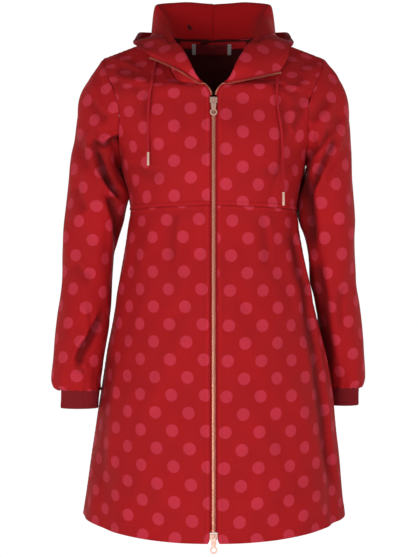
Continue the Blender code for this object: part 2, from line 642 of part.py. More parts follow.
def add_sleeve(name, outer, inner, angles):
    walls = part_edges((outer, inner), first_row=ARMHOLE_GAP)
    add_wall("sleeve_" + name, "cloth", *walls, closed=True)
    add_cuff(name, angles)


def add_cuff(name, angles):
    side = SIDES[name]
    centre_x, centre_y, half_width, half_depth = CUFFS[name]
    table = columns_of(SLEEVES[name])
    top = table[-1]
    ribs = len(angles) * CUFF_RIBS_PER_POINT
    places = np.arange(ribs * 2) / (2 * CUFF_RIBS_PER_POINT)
    fine = np.interp(places, np.arange(len(angles) + 1), np.append(angles, 2 * math.pi))
    bump = np.where(np.arange(ribs * 2) % 2 == 0, RIB_HEIGHT / 2, -RIB_HEIGHT / 2)
    rows = []
    for t in (0.0, 1.0):
        shape = [top[1], top[2], 0.0, top[3] - CUFF_TUCKED, top[4] - CUFF_TUCKED]
        end = [centre_x, centre_y, 0.0, half_width, half_depth]
        x, y, _, width, depth = [a + (b - a) * t for a, b in zip(shape, end)]
        z = top[0] + CLOTH / 2 - CUFF_LENGTH * t
        if t == 0:
            edge = ring(side, angles, x, y, z, width, depth)
            edge = np.concatenate([edge, edge[:1]])
            outer = np.stack([np.interp(places, range(len(edge)), edge[:, k]) for k in range(3)], axis=-1)
        else:
            outer = ring(side, fine, x, y, z, width + bump, depth + bump)
        rows.append([outer, ring(side, fine, x, y, z, width - CUFF_CLOTH, depth - CUFF_CLOTH)])
    outer = np.array([row[0] for row in rows])
    inner = np.array([row[1] for row in rows])
    add_wall("cuff_" + name, "rib", outer, inner, closed=True)


# Hood -----------------------------------------------------------------------------------------------------------

def neckline_rows(rows):
    """Rows of the bodice along one side's neck seam, from the zip to the centre back."""
    return list(range(row_at(rows, FRONT_NECK), row_at(rows, BACK_NECK) + 1))


def hood_rows(facing):
    """Row positions between the neck seam (0) and the free edge (1), with rows on the roll and facing seam."""
    stand = ROLL_AT * np.array(STAND_STEPS)
    pouch = ROLL_AT + (facing - ROLL_AT) * np.array(POUCH_STEPS)
    edge = facing + (1 - facing) * np.array(FACING_STEPS)
    return np.concatenate([stand, pouch, edge])


def hood_sections(name, neck_points):
    """Middle points of one side of the hood: a section for each point of the neck seam."""
    side = SIDES[name]
    table = np.array(HOOD[name], float)
    run = np.concatenate([[0], np.cumsum(np.linalg.norm(np.diff(neck_points, axis=0), axis=1))])
    at = run / run[-1]
    rows = smooth(table[:, 0], table[:, 1:], at)
    mirror = np.array([side, 1, 1])
    roll, fall, edge = (rows[:, k:k + 3] * mirror for k in (0, 3, 6))
    facing = rows[:, 9]
    sections, middles = [], []
    for k, neck in enumerate(neck_points):
        first = np.linalg.norm(roll[k] - neck)
        tight = np.clip(1 - (first - 0.02) / 0.04, 0, 1)
        outward = fall[k] - roll[k]
        if k > 0:
            outward = outward * np.array([1, 1, 0.15])
        outward = unit(outward)
        onward = unit(edge[k] - roll[k])
        second = np.linalg.norm(fall[k] - roll[k])
        third = np.linalg.norm(edge[k] - fall[k])
        up = unit((roll[k] - neck) / first + np.array([0, 0, STAND_RISE]) - STAND_LEAN * tight * outward)
        places = hood_rows(facing[k])
        points = []
        for w in places:
            if w <= ROLL_AT:
                t = w / ROLL_AT
                points.append(hermite(neck, roll[k], up * first, outward * min(ROLL_FULLNESS * first, 0.05), t))
            elif w <= FALL_AT:
                t = (w - ROLL_AT) / (FALL_AT - ROLL_AT)
                points.append(hermite(roll[k], fall[k], outward * min(1.2 * second, 0.07),
                                      onward * min(0.8 * second, 0.08), t))
            else:
                t = (w - FALL_AT) / (1 - FALL_AT)
                points.append(hermite(fall[k], edge[k], onward * min(1.2 * third, 0.20), edge[k] - fall[k], t))
        sections.append(points)
        middles.append(at[k])
    return np.array(sections).transpose(1, 0, 2), np.array(middles)


def open_grid_normals(grid, sign):
    along = np.gradient(grid, axis=1)
    down = np.gradient(grid, axis=0)
    return sign * unit(np.cross(along, down))


def hood_layers(name, bodice, rows):
    """Middle points and normals of one side of the hood. The bodice's inner neck edge is mitred to the hood's."""
    outer_grid, inner_grid, bodice_normal = bodice
    line = neckline_rows(rows)
    middle, at = hood_sections(name, outer_grid[line, 0])
    normal = open_grid_normals(middle, SIDES[name])
    normal[:, -1, 0] = 0
    normal = unit(normal)
    inner = mitre(outer_grid[line, 0], bodice_normal[line, 0], normal[0], CLOTH)
    inner[-1, 0] = 0
    inner_grid[line, 0] = inner
    return middle, normal, at, inner


def add_hood(name, middle, normal, at, neck_inner):
    half = SEAM_GAP / 2
    apart = HOOD_GAP / 2
    shell = [middle + normal * (apart + HOOD_CLOTH), middle + normal * apart]
    lining = [middle - normal * apart, middle - normal * (apart + LINING)]
    seam = neck_inner - middle[0]
    shell[0][0] = middle[0]
    shell[1][0] = middle[0] + seam * NECK_SHELL_SHARE
    lining[0][0] = middle[0] + seam * (NECK_SHELL_SHARE + 0.11)
    lining[1][0] = neck_inner
    add_wall("hood_" + name, "cloth", *part_edges(shell, NECK_GAP, 0, half, half))
    stations = np.array(HOOD[name])[:, 0]
    lapel = int(np.sum(at[:-1] < np.interp(FACING_STATION, range(len(stations)), stations)))
    facing = np.zeros((middle.shape[0] - 1, middle.shape[1] - 1), bool)
    facing[FACING_ROW:] = True
    facing[:, :lapel] = True
    add_facing_and_lining(name, part_edges(lining, NECK_GAP, 0, half, half), facing, lapel)


def add_facing_and_lining(name, layers, facing, lapel):
    """The dotted facing along the zip and free edges, and the plain lining inside it, parted at their seam."""
    half = SEAM_GAP / 2
    lining_part = [layer.copy() for layer in layers]
    facing_part = [layer.copy() for layer in layers]
    for grid in range(2):
        source = layers[grid]
        down = unit(source[FACING_ROW - 1] - source[FACING_ROW])
        lining_part[grid][FACING_ROW, lapel:] += down[lapel:] * half
        facing_part[grid][FACING_ROW, lapel:] -= down[lapel:] * half
        across = unit(source[:, lapel + 1] - source[:, lapel])
        lining_part[grid][:FACING_ROW + 1, lapel] += across[:FACING_ROW + 1] * half
        facing_part[grid][:FACING_ROW + 1, lapel] -= across[:FACING_ROW + 1] * half
    add_wall("hood_lining_" + name, "lining", *lining_part, keep=~facing)
    add_wall("hood_facing_" + name, "cloth", *facing_part, keep=facing)


# Zip ------------------------------------------------------------------------------------------------------------

def front_profile():
    """Points down the front's middle, at the zip opening's edge, from the zip's head to the hem."""
    bodice = bodice_point(1, np.zeros(200), np.linspace(ZIP_HEAD, 0, 200))
    skirt = skirt_point(1, -1, np.zeros(400), np.linspace(0, len(SKIRT) - 1, 400))
    return np.concatenate([bodice, skirt[1:]])


def profile_y(profile, z):
    order = np.argsort(profile[:, 2])
    return np.interp(z, profile[order, 2], profile[order, 1])


def add_zip(rows):
    profile = front_profile()
    bodice_z = bodice_point(1, 0.0, rows[rows <= ZIP_HEAD])[:, 2][::-1]
    skirt_z = skirt_point(1, -1, 0.0, np.linspace(0, len(SKIRT) - 1, SKIRT_ROWS + 1))[1:, 2]
    breaks = np.concatenate([bodice_z, skirt_z])
    breaks = breaks[(breaks < ZIP_TOP - 0.004) & (breaks > ZIP_BOTTOM + 0.004)]
    heights = np.concatenate([[ZIP_TOP], breaks, [ZIP_BOTTOM]])
    depth = profile_y(profile, heights)
    path = np.stack([np.zeros_like(heights), depth, heights], axis=-1)
    side_way = np.repeat([[1.0, 0, 0]], len(path), axis=0)
    forward = np.repeat([[0, -1.0, 0]], len(path), axis=0)
    front, back = 0.0003, -CHAIN_DEPTH + 0.0003
    half = CHAIN_HALF_WIDTH
    add_sweep("zip_chain", "chain", path, side_way, forward,
              [(-half, back), (half, back), (half, front), (-half, front)])
    tape_front = back - SEAM_GAP
    tape_back = tape_front - TAPE_CLOTH
    for name, side in SIDES.items():
        near, far = sorted((side * SEAM_GAP, side * TAPE_HALF_WIDTH))
        add_sweep("zip_tape_" + name, "tape", path, side_way, forward,
                  [(near, tape_back), (far, tape_back), (far, tape_front), (near, tape_front)])


def add_lapel_zips(edges):
    """The open zip tape with its row of teeth, from the slider along the bodice's edge and the lapel's."""
    for name, side in SIDES.items():
        middle, normal = edges[name]
        rows = np.linspace(ZIP_HEAD + LAPEL_START, FRONT_NECK, 4)[:-1]
        start = bodice_point(side, 0.0, rows)

        def surface(s, v):
            return bodice_point(side, s, v)

        facing_out = normals_of(surface, np.zeros(3), rows, (0, 1), (0, LAST_ROW), side)
        path = np.concatenate([start - facing_out * CLOTH / 2, middle[1:, 0]])
        up = np.concatenate([facing_out, normal[1:, 0]])
        outward = unit(np.cross(up, np.gradient(path, axis=0))) * side
        thin, thick = TAPE_CLOTH / 2, 0.0012
        near, teeth, end = SEAM_GAP, LAPEL_TAPE - LAPEL_TEETH, LAPEL_TAPE
        section = [(near, -thin), (teeth, -thin), (teeth, -thick), (end, -thick), (end, thick),
                   (teeth, thick), (teeth, thin), (near, thin)]
        add_sweep("lapel_zip_" + name, "chain", path, outward, up, section)


def slider_frame(z):
    """Origin, forward and up of a slider that lies on the front at height z."""
    profile = front_profile()
    ends = np.array([[0.0, profile_y(profile, h), h] for h in (z - 0.005, z + 0.005)])
    up = unit(ends[1] - ends[0])
    forward = np.array([0.0, -up[2], up[1]])
    return (ends[0] + ends[1]) / 2 + forward * PLATE_STANDS, forward, up


def add_blocks(name, slot, frame, blocks):
    """One solid made of touching blocks (x, depth and height from and to), placed in a slider's frame."""
    origin, forward, up = frame
    cuts = [sorted({block[axis + end] for block in blocks for end in (0, 1)}) for axis in (0, 2, 4)]
    filled = set()
    for i in range(len(cuts[0]) - 1):
        for j in range(len(cuts[1]) - 1):
            for k in range(len(cuts[2]) - 1):
                x, depth, height = ((cuts[n][m] + cuts[n][m + 1]) / 2 for n, m in ((0, i), (1, j), (2, k)))
                for x0, x1, depth0, depth1, height0, height1 in blocks:
                    if x0 < x < x1 and depth0 < depth < depth1 and height0 < height < height1:
                        filled.add((i, j, k))
    points, faces = {}, []
    for cell in sorted(filled):
        for axis in range(3):
            for end in (0, 1):
                beside = list(cell)
                beside[axis] += 2 * end - 1
                if tuple(beside) in filled:
                    continue
                face = []
                for a, b in ((0, 0), (1, 0), (1, 1), (0, 1)):
                    corner = list(cell)
                    corner[axis] += end
                    corner[(axis + 1) % 3] += a
                    corner[(axis + 2) % 3] += b
                    face.append(points.setdefault(tuple(corner), len(points)))
                faces.append(face if end else face[::-1])
    placed = []
    for i, j, k in points:
        placed.append(origin + np.array([cuts[0][i], 0, 0]) + forward * cuts[1][j] + up * cuts[2][k])
    return add_mesh(name, placed, faces, slot)


def circle(x, y, radius, start, end, count):
    """Points of an arc, angles in degrees from straight down towards +x."""
    turns = np.radians(np.linspace(start, end, count))
    return [(x + radius * math.sin(turn), y + radius * math.cos(turn)) for turn in turns]


def add_pull(name, frame, down):
    """A flat pull tab with a window round the bail and a ring, hung from the slider's axis along down."""
    origin, forward, up = frame
    axis = origin + forward * AXIS_DEPTH + up * AXIS_HEIGHT
    down = unit(np.array(down, float))
    front = np.array([0.0, down[2], -down[1]])
    head = TAB_HALF_DEPTH
    neck = TAB_HALF_WIDTH
    ring_start = math.degrees(math.pi - math.asin(neck * 0.8 / RING_RADIUS))
    outline = [(-neck, -head), (neck, -head), (neck, TAB_NECK * 0.6), (neck * 0.72, TAB_NECK)]
    outline += circle(0, RING_AT, RING_RADIUS, ring_start, -ring_start, 17)
    outline += [(-neck * 0.72, TAB_NECK), (-neck, TAB_NECK * 0.6)]
    half, length = WINDOW_HALF_WIDTH, WINDOW_LENGTH
    window = [(-half, head), (half, head), (half, head + length), (-half, head + length)]
    hole = circle(0, RING_AT, RING_HOLE, 0, 360, 15)[:-1]
    loops = [outline, window, hole]
    flat = [point for loop in loops for point in loop]
    triangles = tessellate_polygon([[(x, r, 0) for x, r in loop] for loop in loops])
    count = len(flat)
    points = [(x, 0, 0) + r * down + lift * front for lift in (head, -head) for x, r in flat]
    faces = [list(corners) for corners in triangles]
    faces += [[corner + count for corner in corners[::-1]] for corners in triangles]
    first = 0
    for loop in loops:
        for k in range(len(loop)):
            a, b = first + k, first + (k + 1) % len(loop)
            faces.append([a, b, b + count, a + count])
        first += len(loop)
    pull = add_mesh(name, points, faces, "metal")
    pull.location = axis
    return pull


def add_sliders():
    plate = (-PLATE_HALF_WIDTH, PLATE_HALF_WIDTH, -PLATE_DEPTH, 0, -PLATE_HALF_HEIGHT, PLATE_HALF_HEIGHT)
    core = (-CORE_HALF_WIDTH, CORE_HALF_WIDTH, -PLATE_DEPTH - CORE_DEPTH, -PLATE_DEPTH,
            -PLATE_HALF_HEIGHT, PLATE_HALF_HEIGHT)
    half = BAIL_HALF_WIDTH
    upper_leg = (-half, half, 0, BAIL_OUTSIDE, BAIL_TOP - BAIL_LEG, BAIL_TOP)
    lower_leg = (-half, half, 0, BAIL_OUTSIDE, BAIL_FOOT, BAIL_FOOT + BAIL_LEG)
    bridge = (-half, half, BAIL_INSIDE, BAIL_OUTSIDE, BAIL_FOOT, BAIL_TOP)
    for name, z in (("top", TOP_SLIDER_Z), ("bottom", BOTTOM_SLIDER_Z)):
        frame = slider_frame(z)
        add_blocks(name + "_slider", "metal", frame, [plate, core, upper_leg, lower_leg, bridge])
        down = -frame[2] if name == "top" else (0, 0, -1)
        add_pull(name + "_pull", frame, down)


# Cords and neck -------------------------------------------------------------------------------------------------

def bodice_spot(side, x, z, v):
    """Where the bodice's outer face passes through x and z, searched from row v: the point and its normal."""
    def surface(a, b):
        return bodice_point(side, a, b)

    s = 0.5
    for _ in range(20):
        point = surface(s, v)
        along_s = (surface(s + 1e-4, v) - point) / 1e-4
        along_v = (surface(s, v + 1e-4) - point) / 1e-4
        square = np.array([[along_s[0], along_v[0]], [along_s[2], along_v[2]]])
        step = np.linalg.solve(square, np.array([side * x - point[0], z - point[2]]))
        step = np.clip(step, -0.25, 0.25)
        s = float(np.clip(s + step[0], 0, 1))
        v = float(v + step[1])
    return surface(s, v), normals_of(surface, s, v, (0, 1), (0, LAST_ROW), side)


def cord_path(name):
    """The cord's centreline down the chest: on the cloth to its fullest point, then hanging straight."""
    side = SIDES[name]
    table = np.array(CORDS[name])
    heights = np.linspace(table[0, 1], table[-1, 1], CORD_POINTS)
    across = smooth(-table[:, 1], table[:, :1], -heights)[:, 0]
    depths = []
    row = 7.5
    for x, z in zip(across, heights):
        point, normal = bodice_spot(side, x, z, row)
        depths.append(point[1] - (CORD_RADIUS + CORD_LIFT) / max(-normal[1], 0.5))
    depths = np.minimum.accumulate(depths)
    return np.stack([side * across, depths, heights], axis=-1)


def add_cords():
    for name in SIDES:
        path = cord_path(name)
        curve = bpy.data.curves.new("drawcord_" + name, "CURVE")
        curve.dimensions = "3D"
        curve.bevel_depth = CORD_RADIUS
        curve.bevel_resolution = 2
        curve.use_fill_caps = True
        line = curve.splines.new("POLY")
        line.points.add(len(path) - 1)
        for point, place in zip(line.points, path):
            point.co = (*place, 1)
        curve.materials.append(material("cord"))
        cord = bpy.data.objects.new("drawcord_" + name, curve)
        bpy.context.collection.objects.link(cord)
        top = path[-1] - np.array([0, 0, TIP_GAP])
        ends = [top, top - np.array([0, 0, TIP_LENGTH])]
        section = [(TIP_RADIUS * math.cos(turn), TIP_RADIUS * math.sin(turn))
                   for turn in np.linspace(0, 2 * math.pi, 13)[:-1]]
        add_sweep("cord_tip_" + name, "metal", ends, [np.array([1, 0, 0])] * 2, [np.array([0, 1, 0])] * 2, section)


def add_back_patch(name, slot, wall, left, right, top, bottom, lift, thickness):
    """A flat piece hung inside the back: rays from the hollow find the wall, and lift is its distance from it."""
    grids = []
    for reach in (lift, lift + thickness):
        grid = []
        for z in np.linspace(top, bottom, 4):
            line = []
            for x in np.linspace(left, right, 13):
                hit = wall.ray_cast((x, 0.0, z), (0, 1, 0))[0]
                line.append(np.array(hit) - np.array([0, reach, 0]))
            grid.append(line)
        grids.append(np.array(grid))
    add_wall(name, slot, *grids)


def add_neck_pieces():
    shape = bmesh.new()
    shape.from_mesh(bpy.data.objects["back_bodice"].data)
    wall = BVHTree.FromBMesh(shape)
    add_back_patch("neck_facing", "cloth", wall, -NECK_FACING_HALF, NECK_FACING_HALF, NECK_FACING_TOP,
                   NECK_FACING_TOP - NECK_FACING_DEPTH, NECK_LIFT, FACING_CLOTH)
    add_back_patch("neck_label", "label", wall, LABEL_MIDDLE - LABEL_HALF, LABEL_MIDDLE + LABEL_HALF, LABEL_TOP,
                   LABEL_TOP - LABEL_DEPTH, NECK_LIFT + FACING_CLOTH + NECK_LIFT, LABEL_CLOTH)
    shape.free()


def build():
    for old in list(bpy.data.objects):
        bpy.data.objects.remove(old)
    rows = bodice_rows()
    across = np.array(ACROSS)
    bodice, sleeves, hoods = {}, {}, {}
    for name, side in SIDES.items():
        bodice[name] = bodice_layers(side, rows, across)
        sleeves[name] = sleeve_layers(name, bodice[name], rows)
        hoods[name] = hood_layers(name, bodice[name], rows)
    add_bodice(bodice, rows)
    add_skirt(bodice, across)
    for name in SIDES:
        add_sleeve(name, *sleeves[name])
        add_hood(name, *hoods[name])
    add_zip(rows)
    add_lapel_zips({name: hoods[name][:2] for name in SIDES})
    add_sliders()
    add_cords()
    add_neck_pieces()


build()
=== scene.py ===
"""Looks of the hooded softshell jacket: cloth, seams, folds, zip, cords and light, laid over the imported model.

Metres, +Z up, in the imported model's own frame. The jacket faces -Y and side +1 is the wearer's left.
"""

import math

import bmesh
import bpy
import numpy as np
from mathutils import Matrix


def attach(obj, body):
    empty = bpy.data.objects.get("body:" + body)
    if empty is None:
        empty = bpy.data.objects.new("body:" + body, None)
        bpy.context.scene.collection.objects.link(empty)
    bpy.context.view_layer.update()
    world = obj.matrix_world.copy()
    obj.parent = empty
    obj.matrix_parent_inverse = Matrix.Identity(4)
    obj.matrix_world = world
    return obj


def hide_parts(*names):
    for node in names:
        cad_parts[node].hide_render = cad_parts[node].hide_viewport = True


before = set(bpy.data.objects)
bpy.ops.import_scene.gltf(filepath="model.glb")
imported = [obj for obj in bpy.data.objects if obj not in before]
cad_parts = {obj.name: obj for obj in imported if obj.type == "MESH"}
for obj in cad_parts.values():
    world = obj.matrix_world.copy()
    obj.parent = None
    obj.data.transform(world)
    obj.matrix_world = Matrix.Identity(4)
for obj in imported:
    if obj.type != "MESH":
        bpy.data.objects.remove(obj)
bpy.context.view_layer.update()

SIDES = {"right": -1, "left": 1}

# Cloth and seams
CLOTH = 0.0020  # bonded softshell, one layer
HOOD_CLOTH = 0.0012  # hood shell
LINING = 0.0010  # hood lining and facing
HOOD_GAP = 0.0014  # between the hood's shell and lining
SEAM_GAP = 0.0003  # between two sewn pieces
SEAM_RIDGE = 0.0014  # how far the topstitched empire seam stands proud
SEAM_RIDGE_WIDTH = 0.0065
MITRE_LIMIT = 0.75  # keeps the inner edge of a sharp seam within 4/3 of the cloth

# Zip
ZIP_OPENING = 0.0065  # from the zip's middle to a front edge
TAPE_HALF_WIDTH = 0.0140
TAPE_CLOTH = 0.0008
CHAIN_DEPTH = 0.0029
CHAIN_PROUD = 0.0003  # how far the chain stands out past the fronts' face
ZIP_TOP = -0.1131  # height of the closed chain's top
ZIP_BOTTOM = -0.8560

# Rows of the bodice, from the front of the empire seam over the shoulder to its back. "inner" is the edge at
# the zip, neckline or centre back, "outer" the edge at the side seam or armhole, and "turn" the arc between
# them. Columns: inner x, y, z, outer x, y, z, turn in degrees.
BODICE = (
    ("front empire seam", 0.0065, -0.1210, -0.2910, 0.1500, 0.0000, -0.2970, 90),
    ("front under bust", 0.0065, -0.1300, -0.2540, 0.1570, 0.0000, -0.2560, 90),
    ("front underarm", 0.0065, -0.1365, -0.2080, 0.1680, 0.0020, -0.2130, 90),
    ("front armhole, low", 0.0065, -0.1340, -0.1650, 0.1705, -0.0480, -0.1700, 62),
    ("front armhole, middle", 0.0065, -0.1265, -0.1300, 0.1685, -0.0640, -0.1320, 50),
    ("zip top", 0.0065, -0.1195, -0.1040, 0.1710, -0.0635, -0.1080, 47),
    ("front neck", 0.0150, -0.1145, -0.0815, 0.1770, -0.0580, -0.0880, 44),
    ("front neck curve", 0.0620, -0.0940, -0.0710, 0.1875, -0.0440, -0.0620, 36),
    ("front neck side", 0.0800, -0.0500, -0.0280, 0.1970, -0.0200, -0.0360, 26),
    ("shoulder seam", 0.0830, 0.0000, 0.0240, 0.2000, 0.0050, -0.0200, 20),
    ("back neck side", 0.0770, 0.0320, 0.0250, 0.1985, 0.0240, -0.0300, 26),
    ("back neck curve", 0.0500, 0.0610, 0.0245, 0.1950, 0.0420, -0.0460, 34),
    ("back neck", 0.0000, 0.0720, 0.0240, 0.1880, 0.0580, -0.0680, 42),
    ("back armhole, high", 0.0000, 0.1060, -0.0350, 0.1790, 0.0690, -0.0980, 46),
    ("back armhole, middle", 0.0000, 0.1190, -0.1000, 0.1730, 0.0680, -0.1350, 50),
    ("back armhole, low", 0.0000, 0.1215, -0.1600, 0.1715, 0.0500, -0.1740, 62),
    ("back underarm", 0.0000, 0.1190, -0.2080, 0.1680, 0.0020, -0.2130, 90),
    ("back under bust", 0.0000, 0.1130, -0.2540, 0.1570, 0.0000, -0.2560, 90),
    ("back empire seam", 0.0000, 0.1080, -0.2910, 0.1500, 0.0000, -0.2970, 90),
)
FRONT_UNDERARM, ZIP_HEAD, FRONT_NECK, SHOULDER, BACK_NECK, BACK_UNDERARM = 2, 5, 6, 9, 12, 16
LAST_ROW = len(BODICE) - 1

# Rows of the skirt, from the empire seam to the hem.
# Columns: height at the front, side and back, half width on the right and left, depth in front and behind.
SKIRT = (
    ("empire seam", -0.2910, -0.2970, -0.2910, 0.1500, 0.1500, 0.1210, 0.1080),
    ("waist", -0.3490, -0.3490, -0.3490, 0.1580, 0.1585, 0.1230, 0.1100),
    ("high hip", -0.4220, -0.4220, -0.4220, 0.1705, 0.1715, 0.1320, 0.1250),
    ("hip", -0.4900, -0.4900, -0.4900, 0.1815, 0.1875, 0.1420, 0.1400),
    ("low hip", -0.5680, -0.5680, -0.5680, 0.1957, 0.2065, 0.1530, 0.1520),
    ("thigh", -0.6550, -0.6550, -0.6560, 0.2088, 0.2195, 0.1660, 0.1640),
    ("above hem", -0.7620, -0.7550, -0.7670, 0.2235, 0.2285, 0.1800, 0.1780),
    ("hem", -0.8745, -0.8450, -0.8850, 0.2364, 0.2377, 0.1920, 0.1900),
)
LAST_SKIRT_ROW = len(SKIRT) - 1
HEM_CURVE = 1.3  # how sharply the hem rises to the side
CORNER_HEIGHT = 0.011  # the front edges swing away from the zip over this height
CORNER_SWING = 0.0035

# Rings of each sleeve below the underarm. Columns: height, centre x and y, half width, half depth.
SLEEVES = {
    "right": (
        ("upper arm", -0.2760, 0.2105, 0.0020, 0.0558, 0.0600),
        ("above elbow", -0.3110, 0.2163, 0.0000, 0.0540, 0.0570),
        ("elbow, upper", -0.3500, 0.2240, -0.0020, 0.0493, 0.0540),
        ("elbow", -0.3860, 0.2280, -0.0050, 0.0462, 0.0520),
        ("elbow, lower", -0.4220, 0.2290, -0.0080, 0.0454, 0.0500),
        ("forearm", -0.4850, 0.2338, -0.0160, 0.0472, 0.0490),
        ("lower forearm", -0.5330, 0.2405, -0.0230, 0.0473, 0.0480),
        ("wrist, upper", -0.5730, 0.2442, -0.0280, 0.0460, 0.0460),
        ("wrist", -0.6030, 0.2465, -0.0310, 0.0445, 0.0440),
        ("blouse", -0.6150, 0.2450, -0.0320, 0.0425, 0.0420),
        ("tuck", -0.6205, 0.2395, -0.0320, 0.0392, 0.0385),
        ("cuff seam", -0.6180, 0.2395, -0.0320, 0.0358, 0.0350),
    ),
    "left": (
        ("upper arm", -0.2760, 0.2050, 0.0020, 0.0502, 0.0600),
        ("above elbow", -0.3110, 0.2072, 0.0000, 0.0505, 0.0570),
        ("elbow, upper", -0.3500, 0.2125, 0.0000, 0.0455, 0.0540),
        ("elbow", -0.3860, 0.2160, 0.0030, 0.0422, 0.0520),
        ("elbow, lower", -0.4220, 0.2168, 0.0080, 0.0418, 0.0500),
        ("forearm", -0.4660, 0.2258, 0.0180, 0.0408, 0.0500),
        ("lower forearm", -0.5190, 0.2345, 0.0300, 0.0402, 0.0490),
        ("wrist, upper", -0.5590, 0.2402, 0.0370, 0.0382, 0.0480),
        ("wrist", -0.6030, 0.2458, 0.0440, 0.0345, 0.0450),
        ("blouse", -0.6150, 0.2445, 0.0460, 0.0325, 0.0430),
        ("tuck", -0.6205, 0.2412, 0.0470, 0.0320, 0.0400),
        ("cuff seam", -0.6180, 0.2412, 0.0470, 0.0285, 0.0365),
    ),
}
CUFFS = {  # centre_x, centre_y, half_width, half_depth at the cuff's open end
    "right": (0.2415, -0.0325, 0.0337, 0.0310),
    "left": (0.2405, 0.0475, 0.0275, 0.0340),
}
CUFF_LENGTH = 0.0360
CUFF_CLOTH = 0.0022
CUFF_TUCKED = 0.0010  # how far inside the sleeve's end the cuff starts
HEM_INSET = 0.0006  # keeps the sleeve's inner edge under its outer face

# Stations round the hood, from the zip edge to the centre back. Columns: how far along the neck seam, x, y, z
# of the roll line, of the fall or pouch and of the free edge, and the facing's seam between the neck seam (0)
# and the edge (1).
HOOD_BACK = (
    (0.55, 0.0850, 0.0080, 0.0400, 0.1170, 0.0150, 0.0200, 0.1470, 0.0350, 0.0150, 0.45),
    (0.70, 0.0970, 0.0560, 0.0670, 0.1300, 0.0800, -0.0150, 0.1430, 0.0920, 0.0340, 0.66),
    (0.82, 0.1070, 0.0840, 0.0880, 0.1320, 0.1300, -0.1150, 0.1360, 0.1400, 0.0480, 0.84),
    (0.92, 0.0600, 0.1020, 0.0950, 0.0780, 0.1450, -0.1920, 0.0800, 0.1720, 0.0500, 0.91),
    (1.00, 0.0000, 0.1060, 0.0920, 0.0000, 0.1460, -0.2160, 0.0000, 0.1800, 0.0470, 0.92),
)
HOOD = {
    "right": (
        (0.00, 0.0270, -0.1160, -0.0720, 0.0700, -0.1040, -0.0450, 0.1123, -0.0690, -0.0230, 0.60),
        (0.12, 0.0400, -0.1135, -0.0530, 0.0750, -0.0990, -0.0370, 0.1210, -0.0600, -0.0150, 0.56),
        (0.22, 0.0512, -0.1005, -0.0310, 0.0810, -0.0900, -0.0270, 0.1300, -0.0470, -0.0070, 0.48),
        (0.32, 0.0610, -0.0800, -0.0110, 0.0890, -0.0720, -0.0110, 0.1385, -0.0280, 0.0010, 0.40),
        (0.42, 0.0745, -0.0470, 0.0085, 0.1020, -0.0330, 0.0120, 0.1460, 0.0020, 0.0090, 0.34),
    ) + HOOD_BACK,
    "left": (
        (0.00, 0.0270, -0.1160, -0.0735, 0.0720, -0.1080, -0.0635, 0.1185, -0.0750, -0.0500, 0.60),
        (0.12, 0.0400, -0.1135, -0.0530, 0.0780, -0.1020, -0.0500, 0.1270, -0.0640, -0.0360, 0.56),
        (0.22, 0.0500, -0.1015, -0.0310, 0.0850, -0.0920, -0.0350, 0.1340, -0.0500, -0.0200, 0.48),
        (0.32, 0.0620, -0.0800, -0.0100, 0.0910, -0.0740, -0.0150, 0.1385, -0.0300, -0.0040, 0.40),
        (0.42, 0.0750, -0.0470, 0.0095, 0.1020, -0.0330, 0.0120, 0.1460, 0.0020, 0.0080, 0.34),
    ) + HOOD_BACK,
}
ROLL_FULLNESS = 1.3  # how roundly a short stand rolls over
STAND_RISE, STAND_LEAN = 0.3, 0.3
EDGE_SECTION = 0.09  # how far along the neck seam the zip edge's own section fades
ROLL_AT, FALL_AT = 0.2, 0.6  # where the roll and the fall lie between the neck seam (0) and the free edge (1)
FACING_STATION = 3.5  # forward of this station the facing covers the whole lapel
LAPEL_TAPE = 0.0062  # how far the open zip tape stands past a lapel's edge
LAPEL_TEETH = 0.0026
LAPEL_START = 0.2  # rows above the zip's head where the open strands start
NECK_SHELL_SHARE = 0.55  # of the neck seam's thickness, the rest is the lining's
STAND_STEPS = (0, 0.34, 0.62, 0.83, 1)  # rows from the neck seam to the roll
POUCH_STEPS = (0.07, 0.18, 0.34, 0.47, 0.56, 0.65, 0.80, 1)  # rows from the roll to the facing's seam
FACING_STEPS = (0.33, 0.67, 1)  # rows from there to the free edge
FACING_ROW = 12

# Drawcords: places down the chest, x on the wearer's left, and each metal tip's top
CORD_RADIUS = 0.0023
CORD_LIFT = 0.0008
CORDS = {
    "right": ((0.1030, -0.0330), (0.1060, -0.0500), (0.1091, -0.0754), (0.1130, -0.0980), (0.1149, -0.1437),
              (0.1149, -0.1970)),
    "left": ((0.1142, -0.0650), (0.1126, -0.0760), (0.1112, -0.0930), (0.1150, -0.1300), (0.1196, -0.1594),
             (0.1214, -0.1945), (0.1223, -0.2680)),
}
TIP_RADIUS = 0.0025
TIP_GAP = 0.0006
TIP_SIDES = 28
TIP_PROFILE = (  # how far down the tip, and the share of its radius there
    (0, 0.86), (0.0003, 0.97), (0.0010, 1.0), (0.0022, 1.0), (0.0030, 0.96), (0.0036, 0.84), (0.0042, 0.96),
    (0.0052, 1.0), (0.0060, 0.96), (0.0066, 0.84), (0.0074, 0.95), (0.0120, 0.96), (0.0180, 0.97),
    (0.0222, 0.95), (0.0234, 0.85), (0.0240, 0.60),
)
CORD_POINTS, CORD_SIDES = 18, 20
CORD_SEARCH_ROW = 7.5  # of the bodice, where the search for a cord's place on it starts

# Neck label and facing, on the inside of the back
NECK_FACING_HALF, NECK_FACING_DEPTH = 0.062, 0.0120
LABEL_MIDDLE, LABEL_HALF, LABEL_DEPTH = -0.003, 0.0365, 0.0185

# How finely the solids are cut
HEAD_ROWS = 44  # rows of a sleeve's head
FOLD_ROWS = 6  # its folds rise to their height within one of so many shares of the head
RINGS_PER_ROW = 12

